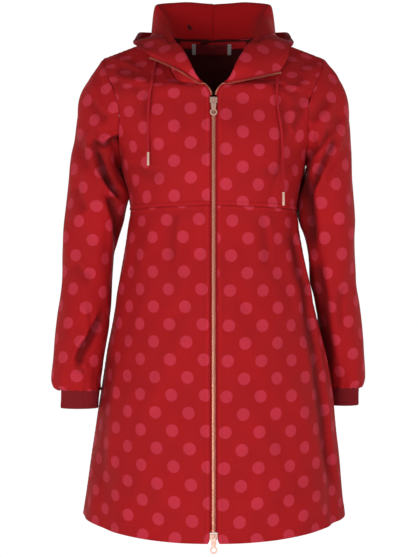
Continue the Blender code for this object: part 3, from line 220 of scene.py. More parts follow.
# Folds. On the skirt: side, face, place at the waist and at the hem (0 middle, 1 side seam), half width,
# depth.
SKIRT_FOLDS = (
    ("left", -1, 0.74, 0.72, 0.055, -0.0060),
    ("left", -1, 0.88, 0.88, 0.060, 0.0030),
    ("right", -1, 0.66, 0.62, 0.080, -0.0030),
    ("right", 1, 0.40, 0.42, 0.110, -0.0060),
    ("right", 1, 0.66, 0.68, 0.100, 0.0040),
    ("left", 1, 0.30, 0.34, 0.120, -0.0050),
    ("left", 1, 0.62, 0.60, 0.090, -0.0060),
)
# On a sleeve: angle and height where a fold starts and where it ends, half width, depth.
# 0 degrees is outward, 90 in front.
SLEEVE_FOLDS = {
    "right": (
        (5, -0.060, 5, -0.125, 0.0280, 0.0065),
        (365, -0.060, 365, -0.125, 0.0280, 0.0065),
        (15, -0.168, 150, -0.277, 0.0110, -0.0060),
        (112, -0.264, 142, -0.322, 0.0090, -0.0040),
        (143, -0.473, 88, -0.566, 0.0100, -0.0050),
        (200, -0.300, 330, -0.352, 0.0130, -0.0050),
        (190, -0.372, 300, -0.410, 0.0120, -0.0040),
        (210, -0.214, 210, -0.252, 0.0150, 0.0145),
    ),
    "left": (
        (5, -0.060, 5, -0.135, 0.0280, 0.0085),
        (365, -0.060, 365, -0.135, 0.0280, 0.0085),
        (30, -0.176, 150, -0.262, 0.0110, -0.0050),
        (128, -0.380, 128, -0.590, 0.0110, -0.0040),
        (205, -0.310, 320, -0.362, 0.0130, -0.0050),
        (200, -0.400, 310, -0.442, 0.0120, -0.0040),
        (210, -0.213, 206, -0.322, 0.0155, 0.0155),
    ),
}
SLEEVE_RADIUS = 0.050  # turns a fold's angle into a distance

# Camera, at the photograph's place
CAMERA_PLACE = (-0.008, -3.2, -0.42)
LENS_MM = 113.6
SENSOR_MM = 36
LIGHTS = (  # name, place, what it is aimed at, size, watts
    ("key", (-0.9, -2.5, -1.05), (0, 0, -0.60), (1.2, 1.0), 37),
    ("fill", (1.9, -2.2, -0.9), (0, 0, -0.55), (1.0, 1.4), 18),
    ("back", (0.6, 2.4, 0.3), (0, 0, -0.3), (1.4, 1.0), 12),
)
FLOOR_Z = -1.45
OVERHEAD = 0.10  # the studio's brightness overhead, next to its walls'

# How finely the cloth is cut: points along and across each piece
BODICE_ALONG, BODICE_ACROSS = 110, 56
SKIRT_ALONG, SKIRT_ACROSS = 160, 62
ARM_COLUMNS = 124
NECK_POINTS = 84
HOOD_FINER = 5
EDGE_STEPS = (0.0006, 0.0012, 0.0020, 0.0032, 0.0048, 0.0065, 0.0085)  # extra points beside a sewn edge

# Seams
ALL_EDGES = ("top", "bottom", "first", "last")
ALL_BUT_HEM = ("top", "first", "last")
SEAM_DIP, SEAM_DIP_WIDTH = 0.0005, 0.0011
SEAM_SWELL, SEAM_SWELL_AT, SEAM_SWELL_WIDTH = 0.00035, 0.0036, 0.0026
PUCKER, PUCKER_LENGTH, PUCKER_REACH = 0.00030, 0.0105, 0.0090
STITCH_LENGTH, STITCH_GAP, STITCH_RADIUS = 0.0026, 0.0009, 0.00024
STITCH_OFFSET = 0.0062
STITCHED_EDGES = ("top", "first")  # of a bodice or front skirt: along the waist seam and the zip
STITCH_HIGHLIGHT = 0.22  # painted highlight on the raised side of a line of stitches, and half as much painted shade just past it
HEM_TURN = 0.0180
PLACKET_TOP = -0.115  # height where the stitches beside the zip end
BODICE_SAMPLE, SKIRT_SAMPLE = 20, 30  # the line of points on which a line of stitches is placed

# The polka dot, staggered, and where one dot of each piece lies as seen from the front (x, z)
DOT_ACROSS, DOT_DOWN = 0.0602, 0.0618
DOT_RADIUS = 0.0110
DOT_BLUR = 0.0005  # half the width of a dot's soft edge
DOT_LEAN = 0.035  # the skirt's grain leans to the zip as it goes down
PATTERN_POINTS = 34  # points each way that a sleeve or hood is laid out flat with
DOTS = {
    "front_bodice_right": (-0.0698, -0.2141), "front_bodice_left": (0.0516, -0.2238),
    "front_skirt_right": (-0.0259, -0.3172), "front_skirt_left": (0.0334, -0.3182),
    "sleeve_right": (-0.2097, -0.2890), "sleeve_left": (0.1938, -0.2845),
}

# Creases in millimetres: the face each is seen on, half width, depth (below 0 a trough),
# then x and z along it.
CREASES = {
    "sleeve_right": (
        ("front", 6, -7.5, (-224, -168), (-208, -178), (-196, -180), (-176, -170), (-152, -163)),
        ("front", 6, -9.0, (-160, -279), (-176, -263), (-188, -248), (-199, -229), (-210, -199), (-222, -170)),
        ("front", 9, -7.5, (-172, -380), (-172, -324), (-181, -292), (-188, -266)),
        ("front", 6, -5.0, (-166, -175), (-156, -190), (-151, -207)),
        ("front", 16, -4.0, (-202, -186), (-188, -222), (-170, -262)),
        ("front", 8, 3.0, (-210, -205), (-200, -240), (-188, -268)),
        ("front", 8, -3.0, (-222, -96), (-206, -122), (-184, -136)),
        ("front", 9, -2.5, (-240, -150), (-236, -190), (-226, -232)),
        ("front", 10, 2.5, (-196, -300), (-202, -350), (-206, -400)),
        ("front", 7, -7.0, (-242, -576), (-240, -562), (-234, -546), (-221, -524), (-205, -496), (-192, -472)),
        ("front", 6, -3.0, (-242, -566), (-234, -582), (-228, -586)),
        ("front", 6, 3.0, (-232, -458), (-227, -500), (-233, -540)),
        ("front", 9, -2.5, (-250, -250), (-240, -280), (-226, -300)),
        ("front", 9, -2.5, (-252, -392), (-236, -410), (-214, -418)),
        ("back", 9, -5.0, (-250, -330), (-215, -352), (-185, -345)),
        ("back", 8, -4.5, (-252, -390), (-222, -405), (-196, -396)),
        ("back", 9, -4.0, (-212, -150), (-226, -210), (-238, -280)),
        ("back", 8, -3.0, (-196, -180), (-206, -230), (-222, -262)),
    ),
    "sleeve_left": (
        ("front", 6, -7.0, (228, -162), (210, -192), (196, -216), (184, -246), (166, -288)),
        ("front", 5, -5.0, (213, -150), (196, -176), (180, -196), (164, -216)),
        ("front", 8, -3.5, (212, -92), (190, -122), (170, -142)),
        ("front", 8, -2.5, (232, -122), (222, -146), (206, -168)),
        ("front", 12, -8.5, (155, -150), (155, -202), (162, -236), (170, -284), (176, -341), (178, -400)),
        ("front", 6, 3.5, (216, -176), (204, -212), (194, -246)),
        ("front", 6, 3.0, (204, -158), (188, -184), (172, -210)),
        ("front", 12, -6.5, (184, -384), (190, -420), (198, -470), (206, -545), (208, -600)),
        ("front", 8, -2.5, (236, -430), (228, -470), (232, -520)),
        ("back", 9, -5.0, (246, -330), (214, -350), (186, -344)),
        ("back", 8, -4.5, (248, -400), (222, -418), (196, -408)),
        ("back", 9, -4.0, (208, -150), (222, -210), (236, -280)),
        ("back", 8, -3.0, (194, -178), (204, -230), (220, -262)),
    ),
    "body": (
        ("front", 8, -2.4, (-175, -35), (-153, -46), (-131, -57)),
        ("front", 9, -2.2, (-186, -62), (-158, -78), (-120, -84)),
        ("front", 8, -2.4, (166, -58), (148, -70), (129, -82)),
        ("front", 9, -2.0, (178, -92), (158, -110), (128, -118)),
        ("front", 8, -3.0, (162, -112), (152, -136), (138, -156)),
        ("front", 7, -2.4, (100, -62), (130, -84), (160, -94)),
        ("front", 7, -2.2, (-112, -84), (-116, -108), (-118, -142)),
        ("front", 8, -2.4, (124, -92), (128, -128), (130, -176)),
        ("front", 9, -2.0, (-160, -215), (-120, -232), (-85, -240)),
        ("front", 9, -2.0, (158, -212), (118, -230), (80, -236)),
        ("front", 7, -2.2, (-66, -300), (-72, -345), (-74, -400)),
        ("front", 8, -2.0, (84, -300), (92, -350), (96, -410)),
        ("front", 12, -2.8, (-180, -545), (-188, -600), (-197, -690), (-202, -820)),
        ("front", 6, -6.0, (136, -300), (140, -342), (147, -368), (154, -410), (163, -440), (165, -470),
         (174, -530), (184, -590), (192, -650), (200, -712), (212, -780), (220, -810)),
        ("front", 9, 3.5, (150, -330), (162, -400), (176, -470), (188, -560), (202, -650), (214, -740)),
        ("back", 16, -3.6, (-60, -300), (-74, -420), (-88, -560), (-104, -860)),
        ("back", 16, -3.6, (64, -300), (76, -430), (92, -600), (104, -860)),
        ("back", 14, -3.0, (-150, -190), (-120, -215), (-80, -228)),
        ("back", 14, -3.0, (150, -190), (120, -215), (80, -228)),
        ("back", 16, -2.4, (0, -300), (4, -420), (-2, -600), (6, -870)),
    ),
    "hood": (
        ("back", 13, 4.0, (-104, 30), (-84, -20), (-56, -90), (-34, -170)),
        ("back", 11, 3.0, (-62, 34), (-52, -20), (-30, -100), (-14, -180)),
        ("back", 12, 3.5, (-120, -10), (-112, -60), (-92, -120), (-64, -176)),
        ("back", 13, 4.0, (98, 32), (80, -10), (60, -84), (40, -160)),
        ("back", 11, 3.0, (44, 36), (38, -30), (26, -110), (10, -190)),
        ("back", 12, 3.0, (122, -6), (108, -70), (84, -130), (70, -168)),
    ),
}
DARKEST_CREASE = 0.75  # the most that the painted shade in a trough takes off its cloth's brightness
CREASE_SHADE = 0.085  # how much painted shade darkens a trough, for each millimetre of its depth
# A crease's width to the left of its line, where the cloth stands up, and right
STEEP_SIDE, SLACK_SIDE = 0.75, 1.35
RIPPLE = 0.0010
HOOD_RIPPLE = 0.35  # of that, over the hood's thin double wall

# Ribs of the cuffs, teeth of the zip, braid of the cords
CUFF_RIBS, POINTS_PER_RIB, CUFF_ROWS = 64, 6, 16
CUFF_RIB_HEIGHT = 0.0006
TOOTH_PITCH = 0.0023
TOOTH = (  # sections of a tooth: reach, half height, half depth
    (-0.0018, 0.00042, 0.00080), (-0.0013, 0.00050, 0.00118), (0.0002, 0.00044, 0.00108),
    (0.0011, 0.00056, 0.00122), (0.0015, 0.00034, 0.00080),
)
BRAID_TURNS, BRAID_LIFT, BRAID_LAY = 5, 0.00022, 0.0072

# Colours, linear
RED = (0.345, 0.0056, 0.0082)
DOT_RED = (0.460, 0.0230, 0.0420)
LINING_RED = (0.330, 0.0030, 0.0050)
# The cloth's inside faces: a dark red, darkened further as painted shade inside the jacket
INSIDE_RED = (0.060, 0.0040, 0.0050)
RIB_RED = (0.215, 0.0075, 0.0130)
TAPE_RED = (0.330, 0.0070, 0.0100)
CORD_RED = (0.360, 0.0080, 0.0150)
THREAD_RED = (0.420, 0.0160, 0.0240)
LABEL_GREY = (0.34, 0.28, 0.28)
LABEL_RED = (0.140, 0.0060, 0.0090)
LABEL_END = 0.0070  # each pale end of the label, along it
ROSE_METAL = (0.74, 0.48, 0.39)
COPPER = (0.86, 0.46, 0.31)


# Small helpers ------------------------------------------------------------------------------------------------

def unit(vectors):
    return vectors / np.maximum(np.linalg.norm(vectors, axis=-1, keepdims=True), 1e-12)


def columns_of(table):
    """A table's numbers, without the names of its rows."""
    return np.array([row[1:] for row in table], float)


def ramp(value, reach):
    """0 up to 0, growing to 1 at reach."""
    return np.clip(value / reach, 0, 1)


def soft_step(value):
    """0 up to 0 and 1 from 1 on, with a soft start and end."""
    value = np.clip(value, 0, 1)
    return value * value * (3 - 2 * value)


def bell(value, width, middle=0.0):
    """1 at the middle, fading to both sides within about the width."""
    return np.exp(-((value - middle) / width) ** 2)


def path_run(line):
    """How far each point of a line lies along it."""
    return np.concatenate([[0], np.cumsum(np.linalg.norm(np.diff(line, axis=0), axis=1))])


def at_runs(spots, run, values):
    """A line's points or directions at other distances along it."""
    return np.stack([np.interp(spots, run, values[:, k]) for k in range(3)], axis=-1)


def closed_round(grid):
    """A tube's grid with its first column again at the end."""
    return np.concatenate([grid, grid[:, :1]], axis=1)


# Camera and light ---------------------------------------------------------------------------------------------

def add_camera():
    data = bpy.data.cameras.new("camera")
    data.lens = LENS_MM
    data.sensor_fit = "VERTICAL"
    data.sensor_height = SENSOR_MM
    camera = bpy.data.objects.new("camera", data)
    camera.location = CAMERA_PLACE
    camera.rotation_euler = (math.pi / 2, 0, 0)
    bpy.context.collection.objects.link(camera)
    bpy.context.scene.camera = camera


def add_light(name, place, aim, size, power):
    data = bpy.data.lights.new(name, "AREA")
    data.shape = "RECTANGLE"
    data.size, data.size_y = size
    data.energy = power
    light = bpy.data.objects.new(name, data)
    light.location = place
    away = np.array(place, float) - np.array(aim, float)
    flat = math.hypot(away[0], away[1])
    light.rotation_euler = (math.atan2(flat, away[2]), 0, math.atan2(away[1], away[0]) + math.pi / 2)
    bpy.context.collection.objects.link(light)


def add_studio():
    scene = bpy.context.scene
    scene.view_settings.view_transform = "Standard"
    world = bpy.data.worlds.new("studio")
    world.use_nodes = True
    tree = world.node_tree
    way = node(tree, "TexCoord").outputs["Generated"]
    height = node(tree, "SeparateXYZ", ((0, way),)).outputs[2]
    strength = remap(tree, height, 0.18, 0.55, 1.02, OVERHEAD)
    set_inputs(tree, tree.nodes["Background"], (("Color", (1, 1, 1, 1)), ("Strength", strength)))
    scene.world = world
    for light in LIGHTS:
        add_light(*light)
    bpy.ops.mesh.primitive_circle_add(vertices=96, radius=2.3, fill_type="NGON", location=(0, 0, FLOOR_Z))
    floor = bpy.context.object
    floor.name = "floor"
    made, tree, shader = new_material("floor")
    grain = node(tree, "TexNoise", (("Scale", 60),)).outputs[0]
    set_inputs(tree, shader, (("Base Color", (0.86, 0.86, 0.85, 1)), ("Roughness", 0.7),
                              ("Normal", bump(tree, 0.0004, grain))))
    floor.data.materials.append(made)


# Materials ----------------------------------------------------------------------------------------------------

def new_material(name):
    made = bpy.data.materials.new(name)
    made.use_nodes = True
    return made, made.node_tree, made.node_tree.nodes["Principled BSDF"]


def set_inputs(tree, made, inputs):
    """Sets a node's inputs: each is a number, a colour or another node's output."""
    for place, value in inputs:
        if hasattr(value, "is_linked"):
            tree.links.new(value, made.inputs[place])
        else:
            made.inputs[place].default_value = value


def node(tree, kind, inputs=(), **settings):
    made = tree.nodes.new("ShaderNode" + kind)
    for key, value in settings.items():
        setattr(made, key, value)
    set_inputs(tree, made, inputs)
    return made


def combine(tree, operation, *values):
    return node(tree, "Math", enumerate(values), operation=operation).outputs[0]


def combine_places(tree, operation, *places):
    return node(tree, "VectorMath", enumerate(places), operation=operation).outputs[0]


def remap(tree, value, low, high, to_low, to_high, **settings):
    """A value's place between low and high, as the same place between two others."""
    return node(tree, "MapRange", enumerate((value, low, high, to_low, to_high)), **settings).outputs[0]


def mix_colours(tree, share, first, second):
    return node(tree, "Mix", ((0, share), (6, first), (7, second)), data_type="RGBA").outputs[2]


def noise(tree, place, scale, detail):
    return node(tree, "TexNoise", (("Vector", place), ("Scale", scale), ("Detail", detail))).outputs[0]


def bump(tree, distance, height):
    return node(tree, "Bump", (("Distance", distance), ("Height", height))).outputs[0]


def dot_mask(tree, flat):
    """1 inside a dot and 0 outside, from a piece's flat places in metres."""
    distances = []
    for shift in (0.5, 1.0):
        cells = combine_places(tree, "MULTIPLY", flat, (1 / DOT_ACROSS, 1 / DOT_DOWN, 0))
        part = combine_places(tree, "FRACTION", combine_places(tree, "ADD", cells, (shift, shift, 0)))
        centred = combine_places(tree, "SUBTRACT", part, (0.5, 0.5, 0))
        away = combine_places(tree, "MULTIPLY", centred, (DOT_ACROSS, DOT_DOWN, 0))
        distances.append(node(tree, "VectorMath", ((0, away),), operation="LENGTH").outputs["Value"])
    nearest = combine(tree, "MINIMUM", *distances)
    return remap(tree, nearest, DOT_RADIUS + DOT_BLUR, DOT_RADIUS - DOT_BLUR, 0.0, 1.0,
                 interpolation_type="SMOOTHSTEP")


def weave_height(tree, flat, pitch):
    """Over-and-under relief of threads, from -1 to 1."""
    apart = node(tree, "SeparateXYZ", ((0, flat),)).outputs
    turns = [combine(tree, "MULTIPLY", apart[axis], 2 * math.pi / pitch) for axis in (0, 1)]
    return combine(tree, "MULTIPLY", *[combine(tree, "SINE", turn) for turn in turns])


def cloth_material(name, colour, dots=None, pitch=0.0011, relief=0.00010, roughness=(0.62, 0.80),
                   sheen=0.04):
    """Matt cloth: slow colour changes, threads, and an optional tonal dot."""
    made, tree, shader = new_material(name)
    flat = node(tree, "UVMap", uv_map="flat").outputs[0]
    surface = colour
    if dots is not None:
        surface = mix_colours(tree, dot_mask(tree, flat), (*colour, 1), (*dots, 1))
    cloud = noise(tree, flat, 16.0, 4.0)
    fibres = noise(tree, flat, 1500.0, 2.0)
    # painted shade and highlight kept at the points: seams, stitches, creases and rib hollows
    seam = node(tree, "Attribute", attribute_name="painted_shade_and_highlight").outputs["Fac"]
    shade = combine(tree, "MULTIPLY", remap(tree, cloud, 0.3, 0.7, 0.93, 1.06),
                    remap(tree, fibres, 0.25, 0.75, 0.90, 1.10))
    shade = combine(tree, "MULTIPLY", shade, seam)
    shaded = node(tree, "VectorMath", ((0, surface), (3, shade)), operation="SCALE").outputs[0]
    fuzz = combine(tree, "ADD", weave_height(tree, flat, pitch), fibres)
    set_inputs(tree, shader, (
        ("Base Color", shaded),
        ("Roughness", remap(tree, cloud, 0.2, 0.8, *roughness)),
        ("Normal", bump(tree, relief, fuzz)),
        ("Sheen Weight", sheen),
        ("Sheen Roughness", 0.5),
        ("Sheen Tint", (1.0, 0.30, 0.30, 1)),
        ("Specular IOR Level", 0.12),
    ))
    return made


def label_material():
    """A bare woven label: a dark red field with a pale end on each side."""
    made = cloth_material("label_weave", LABEL_RED, pitch=0.0006, relief=0.00006, sheen=0.02)
    tree = made.node_tree
    place = node(tree, "TexCoord").outputs["Object"]
    across = node(tree, "SeparateXYZ", ((0, place),)).outputs[0]
    away = combine(tree, "ABSOLUTE", combine(tree, "SUBTRACT", across, LABEL_MIDDLE))
    end = combine(tree, "GREATER_THAN", away, LABEL_HALF - LABEL_END)
    colour = tree.nodes["Principled BSDF"].inputs["Base Color"]
    tree.links.new(mix_colours(tree, end, colour.links[0].from_socket, (*LABEL_GREY, 1)), colour)
    return made


def metal_material(name, colour, roughness):
    """Plated metal with fine scratches, duller in random patches."""
    made, tree, shader = new_material(name)
    place = node(tree, "TexCoord").outputs["Object"]
    cloud = noise(tree, place, 350.0, 5.0)
    dull = tuple(0.72 * value for value in colour)
    set_inputs(tree, shader, (
        ("Base Color", mix_colours(tree, cloud, (*colour, 1), (*dull, 1))),
        ("Roughness", remap(tree, cloud, 0.3, 0.7, roughness, roughness + 0.16)),
        ("Normal", bump(tree, 0.00002, noise(tree, place, 2600.0, 3.0))),
        ("Metallic", 1.0),
    ))
    return made


# Surfaces, the same as the solids' ----------------------------------------------------------------------------

def hermite(start, end, start_slope, end_slope, t):
    """A cubic from start to end that leaves and arrives along the two slopes."""
    t2 = t * t
    t3 = t2 * t
    return (
        (2 * t3 - 3 * t2 + 1) * start
        + (t3 - 2 * t2 + t) * start_slope
        + (3 * t2 - 2 * t3) * end
        + (t3 - t2) * end_slope
    )


def smooth(keys, values, at):
    """A curve through the rows of a table that never overshoots between two rows."""
    keys = np.asarray(keys, float)
    values = np.asarray(values, float)
    steps = np.diff(keys)
    rise = np.diff(values, axis=0) / steps[:, None]
    slopes = np.zeros_like(values)
    slopes[0] = rise[0]
    slopes[-1] = rise[-1]
    same_way = rise[:-1] * rise[1:] > 0
    total = np.where(same_way, rise[:-1] + rise[1:], 1.0)
    slopes[1:-1] = np.where(same_way, 2 * rise[:-1] * rise[1:] / total, 0.0)
    at = np.clip(np.asarray(at, float), keys[0], keys[-1])
    cell = np.clip(np.searchsorted(keys, at, side="right") - 1, 0, len(steps) - 1)
    step = steps[cell][..., None]
    t = (at - keys[cell])[..., None] / step
    return hermite(values[cell], values[cell + 1], slopes[cell] * step, slopes[cell + 1] * step, t)


BODICE_VALUES = columns_of(BODICE)
SKIRT_VALUES = columns_of(SKIRT)


def bodice_point(side, s, v):
    """The bodice's outer face: s runs from the inner edge to the outer, v along BODICE's rows."""
    s, v = np.broadcast_arrays(np.asarray(s, float), np.asarray(v, float))
    row = smooth(range(len(BODICE)), BODICE_VALUES, v)
    turn = np.radians(row[..., 6])
    across = np.sin(s * turn) / np.sin(turn)
    depth = (np.cos(s * turn) - np.cos(turn)) / (1 - np.cos(turn))
    x = row[..., 0] + (row[..., 3] - row[..., 0]) * across
    y = row[..., 4] + (row[..., 1] - row[..., 4]) * depth
    z = row[..., 2] + (row[..., 5] - row[..., 2]) * s
    return np.stack([side * x, y, z], axis=-1)


def skirt_point(side, face, s, v):
    """The skirt's outer face: face -1 is the front, +1 the back; v runs along SKIRT's rows."""
    s, v = np.broadcast_arrays(np.asarray(s, float), np.asarray(v, float))
    row = smooth(range(len(SKIRT)), SKIRT_VALUES, v)
    middle_z = row[..., 0] if face < 0 else row[..., 2]
    half = row[..., 4] if side > 0 else row[..., 3]
    depth = row[..., 5] if face < 0 else row[..., 6]
    down = v / LAST_SKIRT_ROW
    cosine = np.cos(s * math.pi / 2).clip(0, 1)
    z = row[..., 1] + (middle_z - row[..., 1]) * ((1 - down) * (1 - s) + down * cosine ** HEM_CURVE)
    edge = 0.0
    if face < 0:
        corner = ramp(SKIRT_VALUES[-1][0] + CORNER_HEIGHT - middle_z, CORNER_HEIGHT)
        edge = ZIP_OPENING + CORNER_SWING * corner ** 2
    fold = skirt_fold(side, face, s, down)
    x = edge + (half - edge + fold) * np.sin(s * math.pi / 2)
    y = face * (depth + fold) * cosine
    return np.stack([side * x, y, z], axis=-1)


def skirt_fold(side, face, s, down):
    """How far the folds move the skirt outward. They grow to the hem and fade out at the zip and side seam."""
    moved = np.zeros_like(s)
    for name, fold_face, at_waist, at_hem, half_width, depth in SKIRT_FOLDS:
        if SIDES[name] == side and fold_face == face:
            moved = moved + depth * bell(s, half_width, at_waist + (at_hem - at_waist) * down)
    return moved * ramp(1 - s, 0.12) * ramp(s, 0.12) * np.sqrt(np.clip(down, 0, 1))


def normals_of(surface, s, v, last, sign):
    """Unit normals of surface(s, v), by differences kept inside s up to 1 and v up to the last row."""
    step = 1e-3
    s, v = np.broadcast_arrays(np.asarray(s, float), np.asarray(v, float))
    along_s = surface(np.minimum(s + step, 1), v) - surface(np.maximum(s - step, 0), v)
    along_v = surface(s, np.minimum(v + step, last)) - surface(s, np.maximum(v - step, 0))
    return sign * unit(np.cross(along_s, along_v))


def bodice_normals(side, s, v):
    return normals_of(lambda a, b: bodice_point(side, a, b), s, v, LAST_ROW, side)


def mitre(points, normal, other, thickness):
    """Inner points of a seam where two walls meet at an angle, midway between the walls' two directions."""
    middle = unit(normal + other)
    reach = thickness / np.maximum((middle * normal).sum(axis=-1, keepdims=True), MITRE_LIMIT)
    return points - middle * reach


def ring_angles(loop, underarm):
    """An angle for each armhole point: 0 at the shoulder, 90 at the front, 180 under the arm."""
    run = path_run(np.concatenate([loop, loop[:1]]))
    angles = np.empty(len(loop))
    angles[:underarm + 1] = math.pi * run[:underarm + 1] / run[underarm]
    rest = run[underarm:len(loop)] - run[underarm]
    angles[underarm:] = math.pi * (1 + rest / (run[-1] - run[underarm]))
    return angles


def ring(side, angles, section):
    """Points round a tube. A section is its height, centre x and y, half width and half depth."""
    z, centre_x, centre_y, half_width, half_depth = section
    x = centre_x + half_width * np.cos(angles)
    y = centre_y - half_depth * np.sin(angles)
    return np.stack([side * x, y, np.full_like(x, z)], axis=-1)


def sleeve_grid(name, loop, angles):
    """Outer points of a sleeve: its head from the armhole to the first ring, then the rings."""
    side = SIDES[name]
    table = columns_of(SLEEVES[name])
    first, second = ring(side, angles, table[0]), ring(side, angles, table[1])
    top = np.cos(angles)[:, None]
    out = np.array([side, 0.0, 0.0])
    down = np.array([0.0, 0.0, -1.0])
    leave = unit(out * (0.80 - 0.12 * top) + down * (0.59 + 0.13 * top))
    arrive = unit(second - first)
    span = np.linalg.norm(first - loop, axis=1, keepdims=True)
    rows = []
    for t in np.linspace(0, 1, HEAD_ROWS + 1)[:-1]:
        rows.append(hermite(loop, first, leave * span * 0.85, arrive * span * 0.9, t))
    steps = np.linspace(0, len(table) - 1, (len(table) - 1) * RINGS_PER_ROW + 1)
    for section in smooth(range(len(table)), table, steps):
        rows.append(ring(side, angles, section))
    grid = np.array(rows)
    folds = sleeve_fold(name, angles, grid[..., 2])
    return grid + grid_normals(grid, side) * folds[..., None]


def sleeve_fold(name, angles, heights):
    """How far the folds move a sleeve's points outward, by their distance from each fold's line."""
    place = np.broadcast_to(angles, heights.shape)
    moved = np.zeros_like(heights)
    for angle, height, end_angle, end_height, half_width, depth in SLEEVE_FOLDS[name]:
        start = np.array([math.radians(angle) * SLEEVE_RADIUS, height])
        line = np.array([math.radians(end_angle) * SLEEVE_RADIUS, end_height]) - start
        away = np.stack([place * SLEEVE_RADIUS, heights], axis=-1) - start
        along = np.clip((away @ line) / (line @ line), 0, 1)
        distance = np.linalg.norm(away - along[..., None] * line, axis=-1)
        moved += depth * bell(distance, half_width) * (0.4 + 0.6 * np.sin(math.pi * along))
    return moved * ramp(np.arange(len(moved)) * FOLD_ROWS, HEAD_ROWS)[:, None]


def grid_normals(grid, sign):
    """Unit normals of a grid whose columns run round a tube."""
    along = np.roll(grid, -1, axis=1) - np.roll(grid, 1, axis=1)
    down = np.empty_like(grid)
    down[1:-1] = grid[2:] - grid[:-2]
    down[0] = grid[1] - grid[0]
    down[-1] = grid[-1] - grid[-2]
    return sign * unit(np.cross(along, down))


def finer(steps, count):
    """The same steps with each one cut into a count of equal parts."""
    places = np.linspace(0, len(steps) - 1, (len(steps) - 1) * count + 1)
    return np.interp(places, np.arange(len(steps)), steps)


def hood_rows(facing):
    """Row positions between the neck seam (0) and the free edge (1), with rows on the roll and facing seam."""
    stand = ROLL_AT * np.array(STAND_STEPS)
    pouch = ROLL_AT + (facing - ROLL_AT) * np.array(POUCH_STEPS)
    edge = facing + (1 - facing) * np.array(FACING_STEPS)
    return finer(np.concatenate([stand, pouch, edge]), HOOD_FINER)


def hood_sections(name, neck_points):
    """Middle points of one side of the hood: a section for each point of the neck seam, and its place there."""
    table = np.array(HOOD[name], float)
    run = path_run(neck_points)
    at = run / run[-1]
    rows = smooth(table[:, 0], table[:, 1:], at)
    mirror = np.array([SIDES[name], 1, 1])
    roll, fall, edge = (rows[:, k:k + 3] * mirror for k in (0, 3, 6))
    facing = rows[:, 9]
    sections = []
    for k, neck in enumerate(neck_points):
        first, second, third = (np.linalg.norm(step) for step in
                                (roll[k] - neck, fall[k] - roll[k], edge[k] - fall[k]))
        tight = np.clip(1 - (first - 0.02) / 0.04, 0, 1)
        level = ramp(at[k], EDGE_SECTION)
        outward = unit((fall[k] - roll[k]) * np.array([1, 1, 1 - 0.85 * level]))
        onward = unit(edge[k] - roll[k])
        up = unit((roll[k] - neck) / first + np.array([0, 0, STAND_RISE]) - STAND_LEAN * tight * outward)
        spans = (
            (0, ROLL_AT, neck, roll[k], up * first, outward * min(ROLL_FULLNESS * first, 0.05)),
            (ROLL_AT, FALL_AT, roll[k], fall[k], outward * min(1.2 * second, 0.07),
             onward * min(0.8 * second, 0.08)),
            (FALL_AT, 1, fall[k], edge[k], onward * min(1.2 * third, 0.20), edge[k] - fall[k]),
        )
        points = []
        for w in hood_rows(facing[k]):
            low, high, *curve = next(span for span in spans if w <= span[1] or span is spans[-1])
            points.append(hermite(*curve, (w - low) / (high - low)))
        sections.append(points)
    return np.array(sections).transpose(1, 0, 2), at


def front_depth(z):
    """The outer face's y down the front's middle at given heights, at the zip opening's edge."""
    bodice = bodice_point(1, np.zeros(200), np.linspace(ZIP_HEAD, 0, 200))
    skirt = skirt_point(1, -1, np.zeros(400), np.linspace(0, LAST_SKIRT_ROW, 400))
    profile = np.concatenate([bodice, skirt[1:]])
    order = np.argsort(profile[:, 2])
    return np.interp(z, profile[order, 2], profile[order, 1])


def bodice_spot(side, x, z, v):
    """Where the bodice's outer face passes through x and z, searched from row v: the point and its normal."""
    s, small = 0.5, 1e-4
    for _ in range(20):
        point = bodice_point(side, s, v)
        along_s = (bodice_point(side, s + small, v) - point) / small
        along_v = (bodice_point(side, s, v + small) - point) / small
        square = np.array([[along_s[0], along_v[0]], [along_s[2], along_v[2]]])
        step = np.linalg.solve(square, np.array([side * x - point[0], z - point[2]]))
        step = np.clip(step, -0.25, 0.25)
        s = float(np.clip(s + step[0], 0, 1))
        v = float(v + step[1])
    return bodice_point(side, s, v), bodice_normals(side, s, v)


def cord_path(name):
    """The cord's centreline down the chest: on the cloth to its fullest point, then hanging straight."""
    side = SIDES[name]
    table = np.array(CORDS[name])
    heights = np.linspace(table[0, 1], table[-1, 1], CORD_POINTS)
    across = smooth(-table[:, 1], table[:, :1], -heights)[:, 0]
    depths = []
    for x, z in zip(across, heights):
        point, normal = bodice_spot(side, x, z, CORD_SEARCH_ROW)
        depths.append(point[1] - (CORD_RADIUS + CORD_LIFT) / max(-normal[1], 0.5))
    return np.stack([side * across, np.minimum.accumulate(depths), heights], axis=-1)


# Flat places, seams, folds ------------------------------------------------------------------------------------

def refined(start, end, count, start_length, end_length):
    """Places from start to end, with extra ones by both sewn edges. The lengths are metres per unit there."""
    even = np.linspace(start, end, count)
    near = start + np.array(EDGE_STEPS) / start_length
    far = end - np.array(EDGE_STEPS) / end_length
    reach = EDGE_STEPS[-1] * 1.2
    inside = even[(even > start + reach / start_length) & (even < end - reach / end_length)]
    return np.concatenate([[start], near, inside, far[::-1], [end]])


def run_along(grid, axis):
    """How far each point lies along its grid line, from the line's first point."""
    steps = np.linalg.norm(np.diff(grid, axis=axis), axis=-1)
    start = np.zeros_like(np.take(steps, [0], axis=axis))
    return np.concatenate([start, np.cumsum(steps, axis=axis)], axis=axis)


def edge_runs(grid):
    """Each point's distance from the first row, last row, first column and last column."""
    down, across = run_along(grid, 0), run_along(grid, 1)
    return {"top": down, "bottom": down[-1:] - down, "first": across, "last": across[:, -1:] - across}


def flat_places(grid, column=0, lean=0.0):
    """The cut piece's own coordinates: across from a column, and down along it."""
    across = run_along(grid, 1)
    across = across - across[:, column:column + 1]
    down = run_along(grid, 0)[:, column:column + 1] + np.zeros_like(across)
    return np.stack([across + lean * down, -down], axis=-1)


